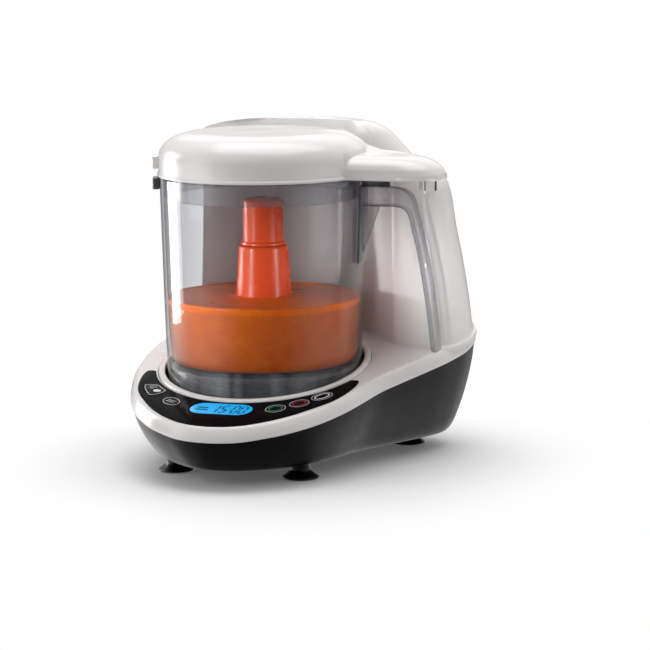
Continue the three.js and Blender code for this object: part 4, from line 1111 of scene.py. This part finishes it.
put("lid_shell_skin", lid_shape(), WHITE, "lid", "lid_shell", weld=0.002, angle=42)
put("lid_lock_tab", block((67.6, 72.5), (-7.4, 7.4), (195.3, 203.9), 1.2, turn=LOCK_TURN),
    TAB_WHITE, "lid")
put("lid_snap_tab", block((117.0, 123.2), (-18.6, -15.4), (183.3, 191.2), 0.5),
    TAB_WHITE, "lid")
# two thin black plates beside the snap tab: painted shade standing in for the shadowed slots in the
# lid rim
slit_shade = merge(block((116.3, 116.95), (-18.2, -15.8), (184.2, 190.5), 0.15),
              block((123.25, 123.9), (-18.2, -15.8), (184.2, 190.4), 0.15))
put("lid_snap_slit_shade", slit_shade, BLACK, "lid")
interlock = merge(block((101.9, 105.1), (18.1, 22.9), (180.3, 192.0), 0.5),
                  block((102.1, 104.9), (22.0, 36.8), (180.5, 183.4), 0.4))
put("lid_interlock_tab", interlock, TAB_WHITE, "lid")
liner = rounded([[0.01, 192], [62.6, 192], [62.6, 175.6], [64.6, 175.6], [64.8, 192],
                 [66.3, 192.1], [66.3, 192.9], [64.8, 193.6], [0.01, 193.6]],
                [0, 1.2, 0.8, 0.8, 0.3, 0.3, 0.3, 0.5, 0])
put("lid_liner_ring", revolve(liner, 144), LINER_CLEAR, "lid", "lid_liner", weld=0.03)
lid_gasket = rounded([[65.25, 189.8], [66.35, 189.8], [66.35, 191.7], [65.25, 191.7]], 0.4,
                     steps=4)
put("lid_gasket_ring", revolve(lid_gasket, 144), MATT_RUBBER, "lid_seal", "lid_gasket")

# ================================================================== feet and fill cap
foot = rounded([[0.01, 2.4], [9, 0.12], [12, 0.0], [12, 0.9], [9.2, 2.9], [6.6, 5.0], [6.3, 6.4],
                [6.3, 10.1], [4, 10.1], [4, 13.7], [5.2, 13.7], [4.4, 16.6], [0.01, 16.6]],
               [0, 1.5, 0.4, 0.5, 1.6, 1.5, 0.8, 0.4, 0.3, 0.3, 0.4, 0.8, 0])
for corner in ("front_left", "front_right", "rear_left", "rear_right"):
    node = "foot_" + corner
    put(node + "_cup", revolve(foot, 72), FOOT_RUBBER, "base", node, weld=0.03,
        centre=plan_centre(node))
cap = rounded([[0.01, 221.4], [6.6, 221.35], [9.0, 221.1], [9.5, 220.4], [9.5, 217.4],
               [7.2, 217.4], [7.2, 211.6], [0.01, 211.6]], [0, 2, 0.8, 0.5, 0.3, 0.3, 0.5, 0])
cap = merge(revolve(cap, 80), block((-6.2, 6.2), (-0.9, 0.9), (221.0, 221.3), 0.12))
put("fill_cap_top", moved(cap, FILL_X, FILL_Y), TAB_WHITE, "fill_cap", "fill_cap",
    weld=0.03)


# ================================================================== openings in the tower
def side_port():
    """A round bar lying at the height and bearing of the hole beside the bowl."""
    radius, height, count = 5.3, 200, 40
    angle = around(count)
    rings = [np.column_stack([np.full(count, x), radius * np.cos(angle),
                              height + radius * np.sin(angle)]) for x in (66, 88)]
    return turned((np.vstack(rings), capped_faces(2, count)), math.radians(47))


filler = revolve([[0.01, 186], [7.6, 186], [7.6, 217.3], [9.9, 217.3], [9.9, 230], [0.01, 230]],
                 64)
slot_cutter = block((101.4, 105.6), (30, 52.5), (179.9, 183.4), 0.4)
cutter = put("cutter_tmp2", merge(moved(filler, FILL_X, FILL_Y), slot_cutter, side_port()),
             WHITE, "base", weld=0.003)
cut_away(tower, cutter)
bpy.data.objects.remove(cutter)
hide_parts("main_housing")

# ================================================================== CAD nodes that stay
KEPT = {
    "bottom_cover": CHARCOAL, "base_screw_1": ZINC, "base_screw_2": ZINC, "base_screw_3": ZINC,
    "base_screw_4": ZINC, "display_module": BLACK, "control_board": BOARD_GREEN,
    "motor_body": ZINC, "motor_bracket": ALUMINIUM, "motor_shaft": STEEL,
    "drive_coupling": BLACK, "motor_core": ZINC, "bowl_coupling": BLACK, "blade_spindle": STEEL,
    "spindle_bush": BRONZE, "lower_blade_front": STEEL, "lower_blade_back": STEEL,
    "upper_blade_left": STEEL, "upper_blade_right": STEEL, "steam_duct": SILICONE,
    "water_tank": TANK_CLEAR, "tank_outlet": SILICONE, "steam_boiler": ALUMINIUM,
    "steam_hose": SILICONE, "steam_nozzle": SILICONE, "interlock_plunger": TAB_WHITE,
    "interlock_switch": BLACK, "cord_grommet": MATT_RUBBER, "power_cord": MATT_RUBBER,
}
for node, material in KEPT.items():
    ob = frame["nodes"][node]
    for material_slot in ob.material_slots:
        material_slot.material = material
    if not ob.material_slots:
        ob.data.materials.append(material)
    for polygon in ob.data.polygons:
        polygon.use_smooth = True
    bevel = ob.modifiers.new("edge", "BEVEL")
    bevel.width, bevel.segments = 0.0003, 2
    bevel.limit_method, bevel.angle_limit = "ANGLE", math.radians(35)
    bevel.harden_normals = True

# ================================================================== studio
# The view frame has x to the camera's right, y away from it and z up; VIEW turns it into ours.
VIEW_TURN = math.radians(19.3)
VIEW_COS, VIEW_SIN = math.cos(VIEW_TURN), math.sin(VIEW_TURN)
VIEW = np.array([[VIEW_COS, -VIEW_SIN, 0], [VIEW_SIN, VIEW_COS, 0], [0, 0, 1]])


def build_world():
    """White to the camera; for all other rays brighter behind the product and overhead."""
    world = bpy.data.worlds.new("studio")
    SCENE.world = world
    nodes = Nodes(world, "ShaderNodeOutputWorld")
    backdrop = nodes.add("Background", {"Color": (1, 1, 1), "Strength": 1.0})
    direction = nodes.add("TexCoord", output="Generated")
    z = nodes.add("SeparateXYZ", {0: direction}, "Z")
    towards_camera = nodes.add("VectorMath", {0: direction, 1: (VIEW_SIN, -VIEW_COS, 0.0)},
                               "Value", operation="DOT_PRODUCT")
    level = nodes.remap(towards_camera, over=(-0.3, 0.9), to=(0.45, 0.14))
    lift = nodes.remap(z, over=(0.0, 0.9), to=(0.0, 0.22))
    strength = nodes.add("Math", {0: level, 1: lift}, operation="ADD")
    ambient = nodes.add("Background", {"Color": (1, 1, 1), "Strength": strength})
    seen = nodes.add("LightPath", output="Is Camera Ray")
    nodes.show(nodes.mix_shader(seen, ambient, backdrop))


def floor_material():
    """Pale floor that melts into the backdrop, greyer to bounce light.

    Mirror rays see it dark in front and bright to the sides.
    """
    material, nodes = new_material("floor_pale")
    paint = nodes.add("BsdfPrincipled", {"Base Color": (0.93, 0.93, 0.93), "Roughness": 0.55,
                                         "Specular IOR Level": 0.1})
    place = nodes.add("TexCoord", output="Object")
    distance = nodes.add("VectorMath", {0: place}, "Value", operation="LENGTH")
    far = nodes.remap(distance, over=(0.145, 0.285), to=(0.06, 1.0))
    glow = nodes.add("Emission", {"Color": (1, 1, 1)})
    rays = nodes.add("LightPath").node.outputs
    fade = nodes.add("Math", {0: far, 1: rays["Is Camera Ray"]}, operation="MULTIPLY")
    visible = nodes.mix_shader(fade, paint, glow)
    grey = nodes.add("BsdfDiffuse", {"Color": (0.60, 0.60, 0.60)})
    lit = nodes.mix_shader(rays["Is Diffuse Ray"], visible, grey)
    offset = nodes.add("VectorMath", {0: place, 1: tuple(AXIS)}, operation="SUBTRACT")
    bearing = nodes.add("VectorMath", {0: offset}, operation="NORMALIZE")
    side = nodes.add("VectorMath", {0: bearing, 1: (VIEW_COS, VIEW_SIN, 0.0)}, "Value",
                     operation="DOT_PRODUCT")
    left = nodes.remap(side, over=(-0.45, -0.92), to=(0.0, 1.7))
    right = nodes.remap(side, over=(0.40, 0.90), to=(0.16, 1.1))
    strength = nodes.add("Math", {0: left, 1: right}, operation="ADD")
    reflector = nodes.add("Emission", {"Strength": strength})
    nodes.show(nodes.mix_shader(rays["Is Glossy Ray"], lit, reflector))
    return material


def build_floor():
    material = floor_material()
    bm = bmesh.new()
    bmesh.ops.create_grid(bm, x_segments=1, y_segments=1, size=6.0)
    mesh = bpy.data.meshes.new("floor")
    bm.to_mesh(mesh)
    bm.free()
    floor = bpy.data.objects.new("floor", mesh)
    SCENE.collection.objects.link(floor)
    mesh.materials.append(material)
    floor.location = (0, 0, -0.0004)


def build_camera():
    yaw, pitch, roll = 0.022, 0.158, -0.009      # radians, in the view frame
    position = (0, -1.8353, 0.3814)              # view frame, about the bowl axis
    forward = np.array([math.sin(yaw) * math.cos(pitch), math.cos(yaw) * math.cos(pitch),
                        -math.sin(pitch)])
    level = np.array([math.cos(yaw), -math.sin(yaw), 0.0])
    upright = np.cross(level, forward)
    right = math.cos(roll) * level + math.sin(roll) * upright
    up = -math.sin(roll) * level + math.cos(roll) * upright
    pose = Matrix((VIEW @ np.stack([right, up, -forward], 1)).tolist()).to_4x4()
    pose.translation = Vector(VIEW @ np.array(position) + AXIS)
    camera = bpy.data.cameras.new("camera")
    camera.sensor_width = 36.0
    camera.lens = 154.534154
    camera.clip_start, camera.clip_end = 0.05, 50
    ob = bpy.data.objects.new("camera", camera)
    ob.matrix_world = pose
    SCENE.collection.objects.link(ob)
    SCENE.camera = ob


def add_light(name, kind, target, offset, **settings):
    """A light that looks at target, which is about the bowl axis; offset is in the view frame."""
    light = bpy.data.lights.new(name, kind)
    for key, value in settings.items():
        setattr(light, key, value)
    ob = bpy.data.objects.new(name, light)
    offset = VIEW @ np.array(offset)
    ob.rotation_euler = Vector(offset).normalized().to_track_quat("Z", "Y").to_euler()
    ob.location = AXIS + np.array(target) + offset
    SCENE.collection.objects.link(ob)
    ob.visible_camera = False
    return ob


def softbox(name, direction, distance, size, watts, target=(0.0, 0.0, 0.11)):
    direction = np.array(direction, float)
    return add_light(name, "AREA", target, direction / np.linalg.norm(direction) * distance,
                     shape="RECTANGLE", size=size[0], size_y=size[1], energy=watts)


def spot(name, target, offset, watts, degrees, blend, radius):
    add_light(name, "SPOT", target, offset, energy=watts, spot_size=math.radians(degrees),
              spot_blend=blend, shadow_soft_size=radius)


build_world()
build_floor()
build_camera()
strip = softbox("strip_left", (-0.89, 0.454, 0.0), distance=0.56, size=(0.20, 0.42), watts=2.8,
                target=(0, 0, 0.205))
strip.visible_diffuse = False
softbox("softbox_left_front", (-0.97, -0.26, 0.20), distance=1.30, size=(0.7, 1.1), watts=4.2)
softbox("softbox_right_front", (0.82, -0.57, 0.35), distance=1.40, size=(0.9, 1.1), watts=0.9)
softbox("softbox_right", (0.98, 0.17, 0.30), distance=1.35, size=(0.5, 1.1), watts=0.9)
softbox("softbox_top", (0.05, 0.10, 1.0), distance=1.30, size=(1.4, 1.2), watts=13.5)
softbox("softbox_back", (0.2, 1.0, 0.6), distance=1.60, size=(1.4, 0.8), watts=2.2)
for name, z in (("kicker_high", 0.142), ("kicker_low", 0.106)):
    x = 0.098 if name == "kicker_high" else 0.103
    spot(name, (x, 0.035, z), (-0.26, -1.10, 0.05), watts=30.0, degrees=3.4, blend=1.0,
         radius=0.03)
spot("through_bowl", (0.022, 0.020, 0.112), (-1.00, -0.66, 0.14), watts=46.0, degrees=5.6,
     blend=0.7, radius=0.05)
spot("hub_right", (0.0, 0.0, 0.128), (1.00, -0.62, 0.11), watts=26.0, degrees=3.4, blend=0.8,
     radius=0.02)
for ob in SCENE.objects:        # any light that came with the scene as well
    if ob.type == "LIGHT":
        ob.visible_camera = False

SCENE.view_settings.view_transform = "Standard"
SCENE.view_settings.look = "None"
SCENE.view_settings.exposure = 0.0
SCENE.view_settings.gamma = 1.0
SCENE.cycles.use_denoising = True
SCENE.cycles.max_bounces = 12
SCENE.cycles.transparent_max_bounces = 24
